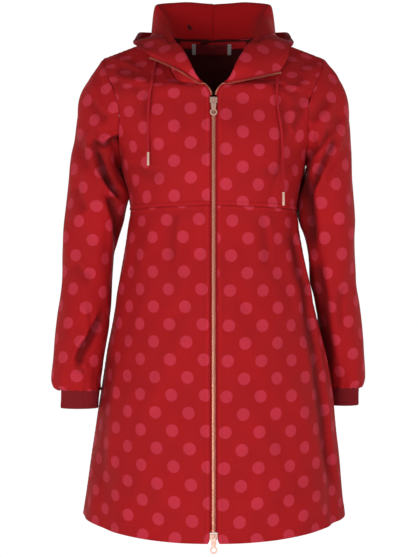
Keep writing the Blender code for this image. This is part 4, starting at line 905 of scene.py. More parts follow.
def unwrapped(grid, upright):
    """The cut piece's own coordinates, laid out with the least stretch and upright along one column."""
    rows, columns = grid.shape[:2]
    r = np.unique(np.linspace(0, rows - 1, min(rows, PATTERN_POINTS)).round().astype(int))
    c = np.linspace(0, columns - 1, min(columns, PATTERN_POINTS)).round()
    c = np.unique(np.append(c, upright).astype(int))
    coarse = grid[np.ix_(r, c)]
    wide = len(c)
    first = (np.arange(len(r) - 1)[:, None] * wide + np.arange(wide - 1)).ravel()
    corners = np.stack([first, first + 1, first + wide + 1, first + wide], axis=-1)
    places = laid_out(coarse.reshape(-1, 3), corners).reshape(len(r), wide, 2)
    real = np.linalg.norm(np.diff(coarse, axis=0), axis=-1).sum()
    places = places * real / np.linalg.norm(np.diff(places, axis=0), axis=-1).sum()
    column = int(np.argmin(abs(c - upright)))
    down = unit(places[-1, column] - places[0, column])
    places = places @ np.array([[-down[1], -down[0]], [down[0], -down[1]]])
    if (places[:, -1, 0] - places[:, 0, 0]).sum() < 0:
        places[..., 0] *= -1
    along = np.stack([[np.interp(np.arange(columns), c, row[:, k]) for k in (0, 1)] for row in places])
    whole = [[np.interp(np.arange(rows), r, along[:, k, c]) for c in range(columns)] for k in (0, 1)]
    return np.array(whole).transpose(2, 1, 0)


def laid_out(points, corners):
    """Flat places of a sheet's points, with the least stretch. It lies anywhere, at any scale and turn."""
    mesh = bpy.data.meshes.new("pattern")
    mesh.from_pydata(points.tolist(), [], corners.tolist())
    mesh.uv_layers.new(name="flat")
    pattern = bpy.data.objects.new("pattern", mesh)
    bpy.context.collection.objects.link(pattern)
    bpy.context.view_layer.objects.active = pattern
    pattern.select_set(True)
    bpy.ops.object.mode_set(mode="EDIT")
    bpy.ops.mesh.select_all(action="SELECT")
    bpy.ops.uv.unwrap(method="MINIMUM_STRETCH", margin=0)
    bpy.ops.object.mode_set(mode="OBJECT")
    laid = np.empty(len(mesh.loops) * 2)
    mesh.uv_layers["flat"].data.foreach_get("uv", laid)
    places = np.empty((len(points), 2))
    places[corners.ravel()] = laid.reshape(-1, 2)
    bpy.data.objects.remove(pattern)
    bpy.data.meshes.remove(mesh)
    return places


def dot_phase(flat, outer, place):
    """Moves flat places so that a dot lies at x, z as seen from the front."""
    away = np.hypot(outer[..., 0] - place[0], outer[..., 2] - place[1])
    away = away + np.where(outer[..., 1] > 0.02, 1.0, 0.0)
    nearest = np.unravel_index(np.argmin(away), away.shape)
    return flat - flat[nearest]


def sew(outer, normal, flat, sewn):
    """Sinks the seams named in sewn and puckers the cloth beside them: the outer points and their painted shade
    and highlight.
    """
    lift = np.zeros(outer.shape[:2])
    shade = np.ones(outer.shape[:2])
    for name, run in edge_runs(outer).items():
        if name not in sewn:
            continue
        along = flat[..., 0] if name in ("top", "bottom") else flat[..., 1]
        wave = np.sin(2 * math.pi * along / PUCKER_LENGTH + 2.2 * np.sin(along * 61))
        lift -= SEAM_DIP * bell(run, SEAM_DIP_WIDTH)
        lift += SEAM_SWELL * bell(run, SEAM_SWELL_WIDTH, SEAM_SWELL_AT)
        lift += PUCKER * wave * np.exp(-run / PUCKER_REACH) * ramp(run, 0.002)
        # painted shade in the seam's groove, and a painted highlight on the swell beside it
        shade -= 0.25 * bell(run, 0.0010)
        shade += 0.05 * bell(run, 0.0020, 0.0040)
        if name in STITCHED_EDGES:
            # painted highlight on the raised side of the stitches, and painted shade just past them
            shade += STITCH_HIGHLIGHT * bell(run, 0.0007, STITCH_OFFSET - 0.0006)
            shade -= STITCH_HIGHLIGHT / 2 * bell(run, 0.0009, STITCH_OFFSET + 0.0009)
            lift -= 0.0002 * bell(run, 0.0006, STITCH_OFFSET)
    return outer + normal * lift[..., None], shade


def nearest_on(points, line):
    """For points seen flat: the distance to a line, how far along it from 0 to 1, and the side (1 is left)."""
    starts, steps = line[:-1], np.diff(line, axis=0)
    near = np.full(points.shape[:-1], 1e9)
    place, beside = np.zeros(near.shape), np.zeros(near.shape)
    for k, (start, step) in enumerate(zip(starts, steps)):
        away = points - start
        t = np.clip((away @ step) / (step @ step), 0, 1)
        distance = np.linalg.norm(away - t[..., None] * step, axis=-1)
        closer = distance < near
        beside = np.where(closer, np.sign(step[0] * away[..., 1] - step[1] * away[..., 0]), beside)
        near = np.where(closer, distance, near)
        place = np.where(closer, (k + t) / len(starts), place)
    return near, place, beside


def crease_lift(points, normals, creases):
    """How far the listed creases move each point outward, and the painted shade in their troughs."""
    lift = np.zeros(points.shape[:-1])
    shade = np.ones(points.shape[:-1])
    for face, half_width, depth, *line in creases:
        line = smooth(range(len(line)), np.array(line) / 1000, np.linspace(0, len(line) - 1, 6 * len(line)))
        near, place, beside = nearest_on(points[..., (0, 2)], line)
        taper = soft_step(np.minimum(place / 0.18, (1 - place) / 0.22))
        toward = (-1 if face == "front" else 1) * normals[..., 1]
        wide = half_width / 1000 * np.where(beside > 0, STEEP_SIDE, SLACK_SIDE)
        trough = bell(near, wide) * taper
        ridge = bell(near, 0.9 * wide, 1.9 * wide) * taper * np.where(beside > 0, 0.5, 0.1)
        lift += depth / 1000 * (trough - ridge) * np.clip(0.15 + 1.5 * toward, 0, 1)
        # painted shade in the trough, deeper for a deeper crease and strongest on the face it is seen on
        dark = min(max(-depth, 0) * CREASE_SHADE, DARKEST_CREASE)
        shade *= 1 - dark * trough * np.clip(0.6 + 1.5 * toward, 0, 1)
    return lift, shade


def ripple_lift(flat, seed):
    """Slow unevenness of cloth that hangs freely."""
    u, v = flat[..., 0], flat[..., 1]
    return RIPPLE * (
        np.sin(u * 71 + 1.3 * np.sin(v * 23 + seed) + seed)
        + 0.7 * np.sin(v * 47 - u * 35 + 2.1 * seed)
        + 0.5 * np.sin(u * 128 + v * 66 + 3.7 * seed)
    )


def edge_fade(outer, sewn, reach):
    """0 on the sewn edges, growing to 1 at reach, so that neighbours stay together."""
    fade = np.ones(outer.shape[:2])
    for name, run in edge_runs(outer).items():
        if name in sewn:
            fade = fade * ramp(run, reach)
    return fade


def dress(outer, normal, flat, sewn, seed, creases, ripple=1.0, deepest=0.02):
    """Gives a piece its creases, ripples and seams: its outer points and the painted shade by its seams and
    creases.
    """
    lift, dark = crease_lift(outer, normal, creases)
    lift += ripple * ripple_lift(flat, seed) * edge_fade(outer, sewn, 0.02)
    lift = np.maximum(lift, -deepest)
    dressed, shade = sew(outer + normal * lift[..., None], normal, flat, sewn)
    return dressed, shade * dark


# Pieces -------------------------------------------------------------------------------------------------------

PIECES = {}
CUTS = {}  # the most that each piece of cloth measures across and down


def finish_piece(name, mesh, materials, body="jacket", replaces=(), sharp=50):
    """Links a piece to its body. Edges that turn by more than the sharp angle, in degrees, stay sharp."""
    for material in materials:
        mesh.materials.append(material)
    mesh.shade_smooth()
    piece = bpy.data.objects.new(name, mesh)
    bpy.context.collection.objects.link(piece)
    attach(piece, body)
    if replaces:
        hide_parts(*replaces)
    if sharp:
        mesh.set_sharp_from_angle(angle=math.radians(sharp))
    PIECES[name] = piece
    return piece


def shade_points(mesh, values):
    """Keeps the painted shade and highlight at each point, which darken or lighten the cloth's colour."""
    mesh.attributes.new("painted_shade_and_highlight", "FLOAT", "POINT").data.foreach_set("value", values)


def solid_mesh(name, points, faces):
    """A closed mesh whose faces all look outward."""
    mesh = bpy.data.meshes.new(name)
    mesh.from_pydata(points, [], faces)
    fixed = bmesh.new()
    fixed.from_mesh(mesh)
    bmesh.ops.recalc_face_normals(fixed, faces=fixed.faces)
    fixed.to_mesh(mesh)
    fixed.free()
    return mesh


def ring_faces(rings, count, first=0):
    """Faces of a tube whose rings have a count of points each, with its two ends."""
    faces = []
    for near in range(first, first + (rings - 1) * count, count):
        for c in range(count):
            after = (c + 1) % count
            faces.append([near + c, near + after, near + count + after, near + count + c])
    last = first + (rings - 1) * count
    return faces + [list(range(first + count - 1, first - 1, -1)), list(range(last, last + count))]


def shell(name, outer, inner, flat, shade, materials, slot, replaces, keep=None, closed=False):
    """A thin closed wall between two grids of points. The first material is outside and the second inside.

    A closed piece's flat places have one column more, so that the pattern meets itself along one seam only.
    """
    rows, columns = outer.shape[:2]
    r, c = np.meshgrid(np.arange(rows - 1), np.arange(columns if closed else columns - 1), indexing="ij")
    if keep is not None:
        r, c = r[keep], c[keep]
    r, c = r.ravel(), c.ravel()
    around = closed_round(outer) if closed else outer
    CUTS[name] = (run_along(around, 1)[:, -1].max(), run_along(around, 0)[-1].max())
    round_corners = ((r, c), (r, c + 1), (r + 1, c + 1), (r + 1, c))
    corners = np.stack([a * columns + b % columns for a, b in round_corners], axis=-1)
    places = np.stack([flat[a, b] for a, b in round_corners], axis=1)
    points = np.concatenate([outer.reshape(-1, 3), inner.reshape(-1, 3)])
    count = rows * columns
    quads = points[corners]
    facing = np.cross(quads[:, 2] - quads[:, 0], quads[:, 3] - quads[:, 1])
    out = points[corners[:, 0]] - points[corners[:, 0] + count]
    if (facing * out).sum() < 0:
        corners, places = corners[:, ::-1], places[:, ::-1]
    starts, ends = corners, np.roll(corners, -1, axis=1)
    keys = np.minimum(starts, ends) * count + np.maximum(starts, ends)
    _, where, times = np.unique(keys, return_inverse=True, return_counts=True)
    rim = (times[where] == 1).reshape(keys.shape)
    a, b = starts[rim], ends[rim]
    after = np.roll(places, -1, axis=1)
    rim_faces = np.stack([b, a, a + count, b + count], axis=-1)
    rim_places = np.stack([after[rim], places[rim], places[rim], after[rim]], axis=1)
    faces = np.concatenate([corners, corners[:, ::-1] + count, rim_faces])
    uvs = np.concatenate([places, places[:, ::-1], rim_places]).reshape(-1, 2)
    mesh = bpy.data.meshes.new(name)
    mesh.from_pydata(points.tolist(), [], faces.tolist())
    mesh.uv_layers.new(name="flat").data.foreach_set("uv", uvs.ravel())
    inside = np.zeros(len(faces), np.int32)
    if len(materials) > 1:
        inside[len(corners):2 * len(corners)] = 1
    mesh.polygons.foreach_set("material_index", inside)
    shade_points(mesh, np.tile(shade.ravel(), 2))
    clean = bmesh.new()
    clean.from_mesh(mesh)
    bmesh.ops.remove_doubles(clean, verts=clean.verts, dist=1e-6)
    loose = [vertex for vertex in clean.verts if not vertex.link_faces]
    bmesh.ops.delete(clean, geom=loose, context="VERTS")
    clean.to_mesh(mesh)
    clean.free()
    finish_piece(name, mesh, materials, replaces=replaces)


def dotted_shell(kind, side_name, outer, inner, flat, shade, **settings):
    """The dotted cloth over one solid, whose name is the kind and the side."""
    shell(kind + "_cloth" + side_name, outer, inner, flat, shade, [CLOTH_DOTTED, CLOTH_PLAIN], "cloth",
          [kind + side_name], **settings)


def tube(name, path, radii, materials, replaces):
    """A round solid along a path: radii gives a ring of radii for every point."""
    rings, count = radii.shape
    tangent = unit(np.gradient(path, axis=0))
    guide = np.array([1.0, 0, 0])
    across = unit(guide - (tangent @ guide)[:, None] * tangent)
    up = np.cross(tangent, across)
    turn = np.linspace(0, 2 * math.pi, count, endpoint=False)
    wide = np.cos(turn)[None, :, None] * across[:, None] + np.sin(turn)[None, :, None] * up[:, None]
    points = path[:, None] + wide * radii[..., None]
    mesh = solid_mesh(name, points.reshape(-1, 3).tolist(), ring_faces(rings, count))
    vertex = np.empty(len(mesh.loops), np.int32)
    mesh.loops.foreach_get("vertex_index", vertex)
    places = np.stack([turn[vertex % count] * radii.mean(), path_run(path)[vertex // count]], axis=-1)
    mesh.uv_layers.new(name="flat").data.foreach_set("uv", places.ravel())
    shade_points(mesh, np.ones(len(mesh.vertices)))
    return finish_piece(name, mesh, materials, replaces=replaces)


STITCHES = []


def stitch_line(points, normals):
    """Keeps a line of topstitching for later: its points on the cloth, and the cloth's normals."""
    STITCHES.append((points, normals))


def nearest_line(run, distance):
    """Which of the places in run lies nearest a distance from its edge."""
    return int(np.argmin(abs(run - distance)))


def add_stitches():
    """Every kept line as a row of short threads, each pulled in at its two ends."""
    points, faces = [], []
    for line, normals in STITCHES:
        run = path_run(line)
        for offset in np.arange(0, run[-1] - STITCH_LENGTH, STITCH_LENGTH + STITCH_GAP):
            spots = offset + STITCH_LENGTH * np.array([0, 0.25, 0.75, 1])
            place = at_runs(spots, run, line)
            up = unit(at_runs(spots, run, normals))
            across = unit(np.cross(unit(place[-1] - place[0]), up))
            first = len(points)
            points.append(place[0] - up[0] * STITCH_RADIUS)
            for k in (1, 2):
                middle = place[k] + up[k] * STITCH_RADIUS * 0.6
                for a, b in ((1, 0), (0, 1), (-1, 0), (0, -1)):
                    points.append(middle + (across[k] * a + up[k] * b) * STITCH_RADIUS)
            points.append(place[3] - up[3] * STITCH_RADIUS)
            for c in range(4):
                near, after = first + 1 + c, first + 1 + (c + 1) % 4
                faces += [[first, after, near], [near, after, after + 4, near + 4],
                          [near + 4, after + 4, first + 9]]
    mesh = bpy.data.meshes.new("topstitching")
    mesh.from_pydata([tuple(p) for p in points], [], faces)
    shade_points(mesh, np.ones(len(points)))
    mesh.uv_layers.new(name="flat")
    finish_piece("topstitching", mesh, [THREAD], sharp=None)


# Bodice and skirt ---------------------------------------------------------------------------------------------

def bodice_half(side, rows):
    """Outer points and normals of one side of the bodice between two of its rows."""
    s, v = np.meshgrid(refined(0, 1, BODICE_ACROSS, 0.17, 0.17), rows)
    normal = bodice_normals(side, s, v)
    normal[(s == 0) & (v >= BACK_NECK), 0] = 0
    return bodice_point(side, s, v), unit(normal)


def raise_allowance(outer, normal, edge):
    """The empire seam's allowance, pressed up under the bodice and stitched down."""
    rise = soft_step((SEAM_RIDGE_WIDTH + 0.0006 - edge_runs(outer)[edge]) / 0.0012)
    return outer + normal * (SEAM_RIDGE * rise)[..., None]


def add_bodice():
    for name, side in SIDES.items():
        outer, normal = bodice_half(side, refined(0, SHOULDER, BODICE_ALONG, 0.037, 0.060))
        flat = flat_places(outer)
        flat[..., 0] = flat[..., 0] + abs(outer[:, :1, 0])
        flat = dot_phase(flat, outer, DOTS["front_bodice_" + name])
        raised = raise_allowance(outer, normal, "top")
        dressed, shade = dress(raised, normal, flat, ALL_EDGES, 1.0 + side, CREASES["body"])
        dotted_shell("front_bodice", "_" + name, dressed, dressed - normal * CLOTH, flat, shade)
        runs = edge_runs(dressed)
        row = nearest_line(runs["top"][:, BODICE_SAMPLE], STITCH_OFFSET)
        stitch_line(dressed[row], normal[row])
        column = nearest_line(runs["first"][BODICE_SAMPLE], STITCH_OFFSET)
        below_neck = nearest_line(dressed[:, column, 2], PLACKET_TOP)
        stitch_line(dressed[:below_neck, column], normal[:below_neck, column])
    add_back_bodice()


def add_back_bodice():
    halves = [bodice_half(side, refined(SHOULDER, LAST_ROW, BODICE_ALONG, 0.040, 0.037)) for side in (-1, 1)]
    outer, normal = (np.concatenate([halves[0][k][:, ::-1], halves[1][k]], axis=1) for k in (0, 1))
    middle = outer.shape[1] // 2
    flat = flat_places(outer, middle)
    keep = np.ones((outer.shape[0] - 1, outer.shape[1] - 1), bool)
    keep[:, middle - 1] = False
    raised = raise_allowance(outer, normal, "bottom")
    dressed, shade = dress(raised, normal, flat, ALL_EDGES, 4.1, CREASES["body"])
    dotted_shell("back_bodice", "", dressed, dressed - normal * CLOTH, flat, shade, keep=keep)
    row = nearest_line(edge_runs(dressed)["bottom"][:, BODICE_SAMPLE], STITCH_OFFSET)
    stitch_line(dressed[row], normal[row])


def add_skirt():
    rows = refined(0, LAST_SKIRT_ROW, SKIRT_ALONG, 0.058, 0.110)
    s, v = np.meshgrid(refined(0, 1, SKIRT_ACROSS, 0.24, 0.24), rows)
    backs = []
    for name, side in SIDES.items():
        for face in (-1, 1):
            def surface(a, b, side=side, face=face):
                return skirt_point(side, face, a, b)

            outer = surface(s, v)
            normal = normals_of(surface, s, v, LAST_SKIRT_ROW, side * face)
            if face > 0:
                normal[:, 0, 0] = 0
                backs.append((outer, unit(normal)))
            else:
                add_front_skirt(name, side, outer, normal)
    outer, normal = (np.concatenate([backs[0][k][:, :0:-1], backs[1][k]], axis=1) for k in (0, 1))
    flat = flat_places(outer, outer.shape[1] // 2)
    dressed, shade = dress(outer, normal, flat, ALL_BUT_HEM, 6.3, CREASES["body"])
    dotted_shell("back_skirt", "", dressed, dressed - normal * CLOTH, flat, shade)
    hem_stitches(dressed, normal)


def hem_stitches(outer, normal):
    run = edge_runs(outer)["bottom"]
    row = nearest_line(run[:, run.shape[1] // 2], HEM_TURN)
    stitch_line(outer[row], normal[row])


def add_front_skirt(name, side, outer, normal):
    flat = dot_phase(flat_places(outer, lean=DOT_LEAN), outer, DOTS["front_skirt_" + name])
    dressed, shade = dress(outer, normal, flat, ALL_BUT_HEM, 2.0 + side, CREASES["body"])
    dotted_shell("front_skirt", "_" + name, dressed, dressed - normal * CLOTH, flat, shade)
    column = nearest_line(edge_runs(dressed)["first"][SKIRT_SAMPLE], STITCH_OFFSET)
    stitch_line(dressed[:, column], normal[:, column])
    hem_stitches(dressed, normal)


# Sleeves and cuffs --------------------------------------------------------------------------------------------

def add_sleeves():
    half = ARM_COLUMNS // 2
    rows = np.concatenate([np.linspace(SHOULDER, FRONT_UNDERARM, half + 1),
                           np.linspace(BACK_UNDERARM, SHOULDER, ARM_COLUMNS - half + 1)[1:-1]])
    for name, side in SIDES.items():
        loop = bodice_point(side, 1.0, rows)
        outer = np.roll(sleeve_grid(name, loop, ring_angles(loop, half)), -half, axis=1)
        normal = grid_normals(outer, side)
        around = closed_round(outer)
        flat = unwrapped(around, ARM_COLUMNS - half // 2)
        flat = dot_phase(flat, around, DOTS["sleeve_" + name])
        down = run_along(outer, 0)
        to_end = down[-1:] - down
        along = flat[:, :-1, 0]
        lift, shade = crease_lift(outer, normal, CREASES["sleeve_" + name])
        # painted shade along the armhole seam
        shade = shade * (1 - 0.12 * bell(down, 0.0010))
        lift = lift * ramp(to_end, 0.02)
        lift += ripple_lift(flat[:, :-1], 8 + side) * (ramp(down, 0.03) * ramp(to_end, 0.03))
        lift += 0.0010 * bell(down, 0.005, 0.006)
        lift += 0.0005 * np.sin(2 * math.pi * along / 0.012 + 2 * np.sin(along * 40)) * np.exp(-down / 0.018)
        gather = np.exp(-to_end / 0.030) * ramp(to_end, 0.006)
        lift += 0.0011 * np.sin(2 * math.pi * along / 0.021 + 2.5 * np.sin(along * 33 + side)) * gather
        dressed = outer + normal * lift[..., None]
        inner = dressed - normal * CLOTH
        climb = unit(dressed[-2] - dressed[-1])
        inner[-1] = outer[-1] + climb * CLOTH * 0.9 - normal[-1] * HEM_INSET
        dotted_shell("sleeve", "_" + name, dressed, inner, flat, shade, closed=True)
        add_cuff(name, side)


def add_cuff(name, side):
    top_z, *top = columns_of(SLEEVES[name])[-1]
    start = (*top[:2], top[2] - CUFF_TUCKED, top[3] - CUFF_TUCKED)
    angles = np.linspace(0, 2 * math.pi, CUFF_RIBS * POINTS_PER_RIB, endpoint=False)
    rib = np.cos(angles * CUFF_RIBS)
    rib = np.sign(rib) * abs(rib) ** 0.6
    outer, inner = [], []
    for t in np.linspace(0, 1, CUFF_ROWS):
        x, y, width, depth = (a + (b - a) * t for a, b in zip(start, CUFFS[name]))
        z = top_z + CLOTH / 2 - CUFF_LENGTH * t
        grown = ramp(t, 0.12) * ramp(1.02 - t, 0.08)
        waist = -0.0006 * math.sin(math.pi * t)
        lift = rib * CUFF_RIB_HEIGHT * grown + waist - 0.0005 * ramp(t - 0.94, 0.06)
        outer.append(ring(side, angles, (z, x, y, width + lift, depth + lift)))
        inner.append(ring(side, angles, (z, x, y, width - CUFF_CLOTH + waist, depth - CUFF_CLOTH + waist)))
    outer, inner = np.array(outer), np.array(inner)
    # painted shade in the hollows between the ribs
    shade = np.tile(0.93 + 0.07 * rib, (CUFF_ROWS, 1))
    shell("cuff_knit_" + name, outer, inner, flat_places(closed_round(outer)), shade, [RIB, RIB], "rib",
          ["cuff_" + name], closed=True)


# Hood ---------------------------------------------------------------------------------------------------------

def add_hood():
    for name, side in SIDES.items():
        rows = np.linspace(FRONT_NECK, BACK_NECK, NECK_POINTS)
        line = bodice_point(side, 0.0, rows)
        middle, at = hood_sections(name, line)
        normal = side * unit(np.cross(np.gradient(middle, axis=1), np.gradient(middle, axis=0)))
        normal[:, -1, 0] = 0
        normal = unit(normal)
        inner_neck = mitre(line, bodice_normals(side, np.zeros(len(rows)), rows), normal[0], CLOTH)
        add_hood_side(name, side, middle, normal, at, inner_neck)
        add_open_zip(name, side, middle, normal)


def add_hood_side(name, side, middle, normal, at, inner_neck):
    """One side's dotted shell, and inside it the dotted facing and the plain lining, sewn together."""
    apart = HOOD_GAP / 2
    seam = inner_neck - middle[0]
    flat = unwrapped(middle, middle.shape[1] - 1)
    flat = flat - flat[-1, -1] + np.array([0.25 * DOT_ACROSS, 0])
    outer = middle + normal * (apart + HOOD_CLOTH)
    under = middle + normal * apart
    outer[0] = middle[0]
    under[0] = middle[0] + seam * NECK_SHELL_SHARE
    dressed, shade = dress(outer, normal, flat, ALL_BUT_HEM, 3.0 + side, CREASES["hood"], ripple=HOOD_RIPPLE,
                           deepest=HOOD_CLOTH / 3)
    dotted_shell("hood", "_" + name, dressed, under, flat, shade)
    top = middle - normal * apart
    back = middle - normal * (apart + LINING)
    top[0] = middle[0] + seam * (NECK_SHELL_SHARE + 0.11)
    back[0] = inner_neck
    stations = np.array(HOOD[name])[:, 0]
    lapel = int(np.sum(at[:-1] < np.interp(FACING_STATION, range(len(stations)), stations)))
    facing_row = FACING_ROW * HOOD_FINER
    facing = np.zeros((middle.shape[0] - 1, middle.shape[1] - 1), bool)
    facing[facing_row:] = True
    facing[:, :lapel] = True
    down, across = run_along(middle, 0), run_along(middle, 1)
    rows, columns = np.indices(middle.shape[:2])
    off = np.where(columns >= lapel, abs(down - down[facing_row]), 1.0)
    off = np.minimum(off, np.where(rows <= facing_row, abs(across - across[:, lapel:lapel + 1]), 1.0))
    # painted shade along the seam between the facing and the lining
    facing_seam_shade = 1 - 0.4 * bell(off, 0.0012)
    uneven = 0.5 * ripple_lift(flat, 5 + side) * edge_fade(middle, ("top", "bottom", "first"), 0.02)
    for kind, cloth, slot, mask, step in (("hood_facing", CLOTH_DOTTED, "cloth", facing, 0.0003),
                                          ("hood_lining", LINING_CLOTH, "lining", ~facing, 0.0)):
        lift = step - 0.0007 * bell(off, 0.0014) + 0.0004 * bell(off, 0.003, 0.004) + uneven
        lift[0] = 0
        shell(kind + "_cloth_" + name, back - normal * lift[..., None], top, flat, facing_seam_shade, [cloth, CLOTH_PLAIN],
              slot, [kind + "_" + name], keep=mask)


# Zip ----------------------------------------------------------------------------------------------------------

def add_teeth(name, places, across, up, along, replaces):
    """Metal teeth: each starts at its place on the tape and reaches across, with a wider rounded head."""
    turn = np.radians(np.arange(8) * 45 + 22.5)
    corners = [(np.sign(w) * abs(w) ** 0.6, np.sign(h) * abs(h) ** 0.6)
               for w, h in zip(np.cos(turn), np.sin(turn))]
    points, faces = [], []
    for place, a, b, d in zip(places, across, up, along):
        faces += ring_faces(len(TOOTH), len(corners), len(points))
        for reach, half_height, half_depth in TOOTH:
            for w, h in corners:
                points.append(place + a * reach + d * w * half_height + b * h * half_depth)
    mesh = solid_mesh(name, [tuple(p) for p in points], faces)
    finish_piece(name, mesh, [COPPER_METAL], replaces=[replaces])


def add_closed_zip():
    heights = np.linspace(ZIP_TOP, ZIP_BOTTOM, 400)
    front = front_depth(heights)
    path = np.stack([np.zeros(400), front + CHAIN_DEPTH / 2 - CHAIN_PROUD, heights], axis=-1)
    places, across = [], []
    for k, side in enumerate((-1, 1)):
        run = path_run(path[1:-1])
        row = at_runs(np.arange(TOOTH_PITCH / 2, run[-1], TOOTH_PITCH), run, path[1:-1])
        places.append(row + np.array([side * 0.0011, 0, -TOOTH_PITCH / 2 * k]))
        across.append(np.repeat([[-side, 0, 0]], len(row), axis=0))
    places, across = np.concatenate(places), np.concatenate(across)
    up, along = (np.repeat([way], len(places), axis=0) for way in ((0, -1.0, 0), (0, 0, 1.0)))
    add_teeth("closed_teeth", places, across, up, along, "zip_chain")
    tape = front + CHAIN_DEPTH - CHAIN_PROUD + SEAM_GAP
    for name, side in SIDES.items():
        wide = np.concatenate([np.linspace(SEAM_GAP, 0.0045, 8), np.linspace(0.0055, TAPE_HALF_WIDTH, 6)])
        wide = side * wide
        outer = path[:, None] + np.outer(wide, [1.0, 0, 0])[None]
        outer[..., 1] = tape[:, None] - 0.0007 * bell(abs(wide), 0.0008, 0.0034)
        inner = outer.copy()
        inner[..., 1] = tape[:, None] + TAPE_CLOTH
        shell("zip_tape_cloth_" + name, outer, inner, flat_places(outer), np.ones(outer.shape[:2]), [TAPE],
              "tape", ["zip_tape_" + name])


def calm(vectors, reach):
    """Unit vectors averaged with their neighbours along a line."""
    rows = np.arange(len(vectors))
    near = [vectors[np.clip(rows + step, 0, len(vectors) - 1)] for step in range(-reach, reach + 1)]
    return unit(sum(near))


def add_open_zip(name, side, middle, normal):
    """The open strand: woven tape and its row of teeth along the bodice's edge and the lapel's."""
    rows = np.linspace(ZIP_HEAD + LAPEL_START, FRONT_NECK, 8)[:-1]
    facing_out = bodice_normals(side, np.zeros(len(rows)), rows)
    path = np.concatenate([bodice_point(side, 0.0, rows) - facing_out * CLOTH / 2, middle[4:, 0]])
    up = calm(np.concatenate([facing_out, normal[4:, 0]]), 6)
    outward = calm(unit(np.cross(up, np.gradient(path, axis=0))) * side, 6)
    wide = np.linspace(SEAM_GAP, LAPEL_TAPE - LAPEL_TEETH + 0.0008, 8)
    strip = path[:, None] + outward[:, None] * wide[None, :, None]
    thin = up[:, None] * TAPE_CLOTH / 2
    shell("open_tape_" + name, strip + thin, strip - thin, flat_places(strip), np.ones(strip.shape[:2]), [TAPE],
          "tape", [])
    line = path + outward * (LAPEL_TAPE - 0.0019)
    run = path_run(line)
    spots = np.arange(TOOTH_PITCH / 2, run[-1], TOOTH_PITCH)
    places, across, lift = (at_runs(spots, run, values) for values in (line, outward, up))
    across, lift = unit(across), unit(lift)
    add_teeth("open_teeth_" + name, places, across, lift, np.cross(across, lift), "lapel_zip_" + name)


def solid_copy(name, ending):
    """A bare copy of a solid's mesh, and the same shape open for editing, with its doubled points joined."""
    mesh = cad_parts[name].data.copy()
    mesh.name = name + ending
    mesh.materials.clear()
    shape = bmesh.new()
    shape.from_mesh(mesh)
    bmesh.ops.remove_doubles(shape, verts=shape.verts, dist=1e-6)
    return mesh, shape


def add_metal():
    """Sliders and pull tabs keep their solids' form, with the edges worn round."""
    for name in ("top_slider", "bottom_slider", "top_pull", "bottom_pull"):
        mesh, shape = solid_copy(name, "_metal")
        bmesh.ops.dissolve_limit(shape, angle_limit=math.radians(4), verts=shape.verts, edges=shape.edges)
        sharp = [edge for edge in shape.edges if len(edge.link_faces) == 2 and edge.calc_face_angle(0) > 0.6]
        bmesh.ops.bevel(shape, geom=sharp, offset=0.00022, segments=3, profile=0.6, affect="EDGES",
                        clamp_overlap=True)
        shape.to_mesh(mesh)
        shape.free()
        body = name if name.endswith("pull") else "jacket"
        finish_piece(name + "_metal", mesh, [ROSE], body, [name], sharp=35)


# Cords and neck -----------------------------------------------------------------------------------------------

def add_cords():
    for name in SIDES:
        route = cord_path(name)
        keys = path_run(route)
        length = float(keys[-1])
        steps = np.linspace(0, length, int(length / 0.0006))
        path = smooth(keys, route, steps)
        turn = np.linspace(0, 2 * math.pi, CORD_SIDES, endpoint=False)[None] * BRAID_TURNS / 2
        lay = steps[:, None] / BRAID_LAY * 2 * math.pi
        strands = abs(np.sin(turn + lay)) * abs(np.sin(turn - lay))
        radii = CORD_RADIUS - BRAID_LIFT / 2 + BRAID_LIFT * strands
        cord = tube("drawcord_braid_" + name, path, radii, [CORD], ["drawcord_" + name])
        tip = add_tip(name, route[-1])


def add_tip(name, end):
    """A crimped metal end: a collar, two pressed grooves and a rounded foot."""
    drops, shares = np.array(TIP_PROFILE).T
    path = end - np.array([0, 0, TIP_GAP]) - np.outer(drops, [0, 0, 1.0])
    radii = np.repeat((TIP_RADIUS * shares)[:, None], TIP_SIDES, axis=1)
    return tube("cord_tip_metal_" + name, path, radii, [ROSE], ["cord_tip_" + name])


def add_neck_pieces():
    """The facing and the bare label, each a thin sheet with turned edges on its solid's own face."""
    for name, material, slot in (("neck_facing", CLOTH_DOTTED, "cloth"), ("neck_label", LABEL, "label")):
        mesh, shape = solid_copy(name, "_cloth")
        bmesh.ops.join_triangles(shape, faces=shape.faces, angle_face_threshold=0.6, angle_shape_threshold=0.9)
        bmesh.ops.subdivide_edges(shape, edges=shape.edges, cuts=2, use_grid_fill=True, smooth=0.2)
        flat = shape.loops.layers.uv.new("flat")
        for face in shape.faces:
            for loop in face.loops:
                loop[flat].uv = (loop.vert.co.x + 0.03, loop.vert.co.z)
        shape.to_mesh(mesh)
        shape.free()
        shade_points(mesh, np.ones(len(mesh.vertices)))
        finish_piece(name + "_cloth", mesh, [material], replaces=[name], sharp=None)


# Sheets -------------------------------------------------------------------------------------------------------

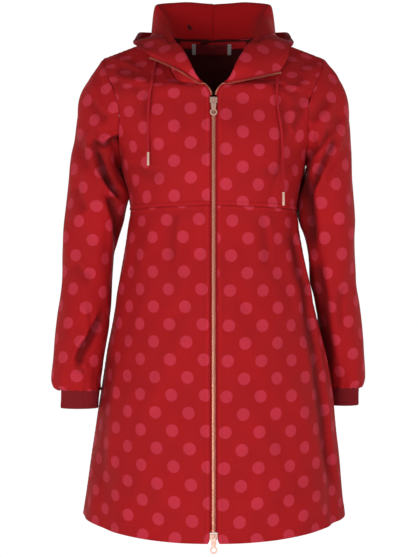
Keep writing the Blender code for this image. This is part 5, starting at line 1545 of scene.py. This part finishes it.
# How each kind of piece is held, and what it is sewn to
SHEETS = {
    "front_bodice_cloth": ("hung", "back_bodice_cloth"),
    "back_bodice_cloth": ("hung", "neck_facing_cloth"),
    "front_skirt_cloth": ("hung", "front_bodice_cloth"),
    "back_skirt_cloth": ("hung", "back_bodice_cloth"),
    "sleeve_cloth": ("hung", "front_bodice_cloth"),
    "cuff_knit": ("stretched", "sleeve_cloth"),
    "hood_cloth": ("folded", "back_bodice_cloth"),
    "hood_facing_cloth": ("folded", "hood_cloth"),
    "hood_lining_cloth": ("folded", "hood_cloth"),
    "zip_tape_cloth": ("hung", "front_skirt_cloth"),
    "open_tape": ("folded", "hood_cloth"),
    "neck_facing_cloth": ("hung", "back_bodice_cloth"),
    "neck_label_cloth": ("hung", "back_bodice_cloth"),
}
LEAST_CUT = 0.010  # no strip is cut narrower, and what is wider lies in its seam
LEAST_SHARE = 0.4  # of its rectangle that a crescent fills, cut with its curve drawn straighter


def declare_sheets():
    """Works out, for each piece of cloth, the rectangle it is cut from, its own area and what it hangs from;
    none of it is kept.
    """
    CUTS["neck_facing_cloth"] = (2 * NECK_FACING_HALF, NECK_FACING_DEPTH)
    CUTS["neck_label_cloth"] = (2 * LABEL_HALF, LABEL_DEPTH)
    for name, (width, length) in CUTS.items():
        kind, _, side = name.rpartition("_")
        kind, side = (kind, "_" + side) if side in SIDES else (name, "")
        held, carrier = SHEETS[kind]
        carrier = carrier if carrier in PIECES else carrier + side
        area = cloth_area(PIECES[name])
        width = max(float(width), LEAST_CUT)
        length = max(min(float(length), area / width / LEAST_SHARE), LEAST_CUT)


def cloth_area(piece):
    """One face of a thin closed wall."""
    areas = np.empty(len(piece.data.polygons))
    piece.data.polygons.foreach_get("area", areas)
    return float(areas.sum() / 2)


CLOTH_DOTTED = cloth_material("dotted_softshell", RED, DOT_RED)
# its colour holds painted shade for the jacket's inside
CLOTH_PLAIN = cloth_material("fleece_back", INSIDE_RED, pitch=0.0016, relief=0.00015, roughness=(0.8, 0.92))
LINING_CLOTH = cloth_material("hood_jersey", LINING_RED, pitch=0.0016, relief=0.00015, roughness=(0.8, 0.92))
RIB = cloth_material("rib_knit", RIB_RED, pitch=0.0012, relief=0.00020, roughness=(0.8, 0.92), sheen=0.2)
TAPE = cloth_material("woven_tape", TAPE_RED, pitch=0.0009, relief=0.00012)
CORD = cloth_material("braided_cord", CORD_RED, pitch=0.0007, relief=0.00008)
THREAD = cloth_material("thread", THREAD_RED, pitch=0.0005, relief=0.00003)
LABEL = label_material()
ROSE = metal_material("rose_metal", ROSE_METAL, 0.52)
COPPER_METAL = metal_material("copper_metal", COPPER, 0.28)

add_camera()
add_cords()
add_bodice()
add_skirt()
add_sleeves()
add_hood()
add_closed_zip()
add_metal()
add_neck_pieces()
add_stitches()
add_studio()
declare_sheets()
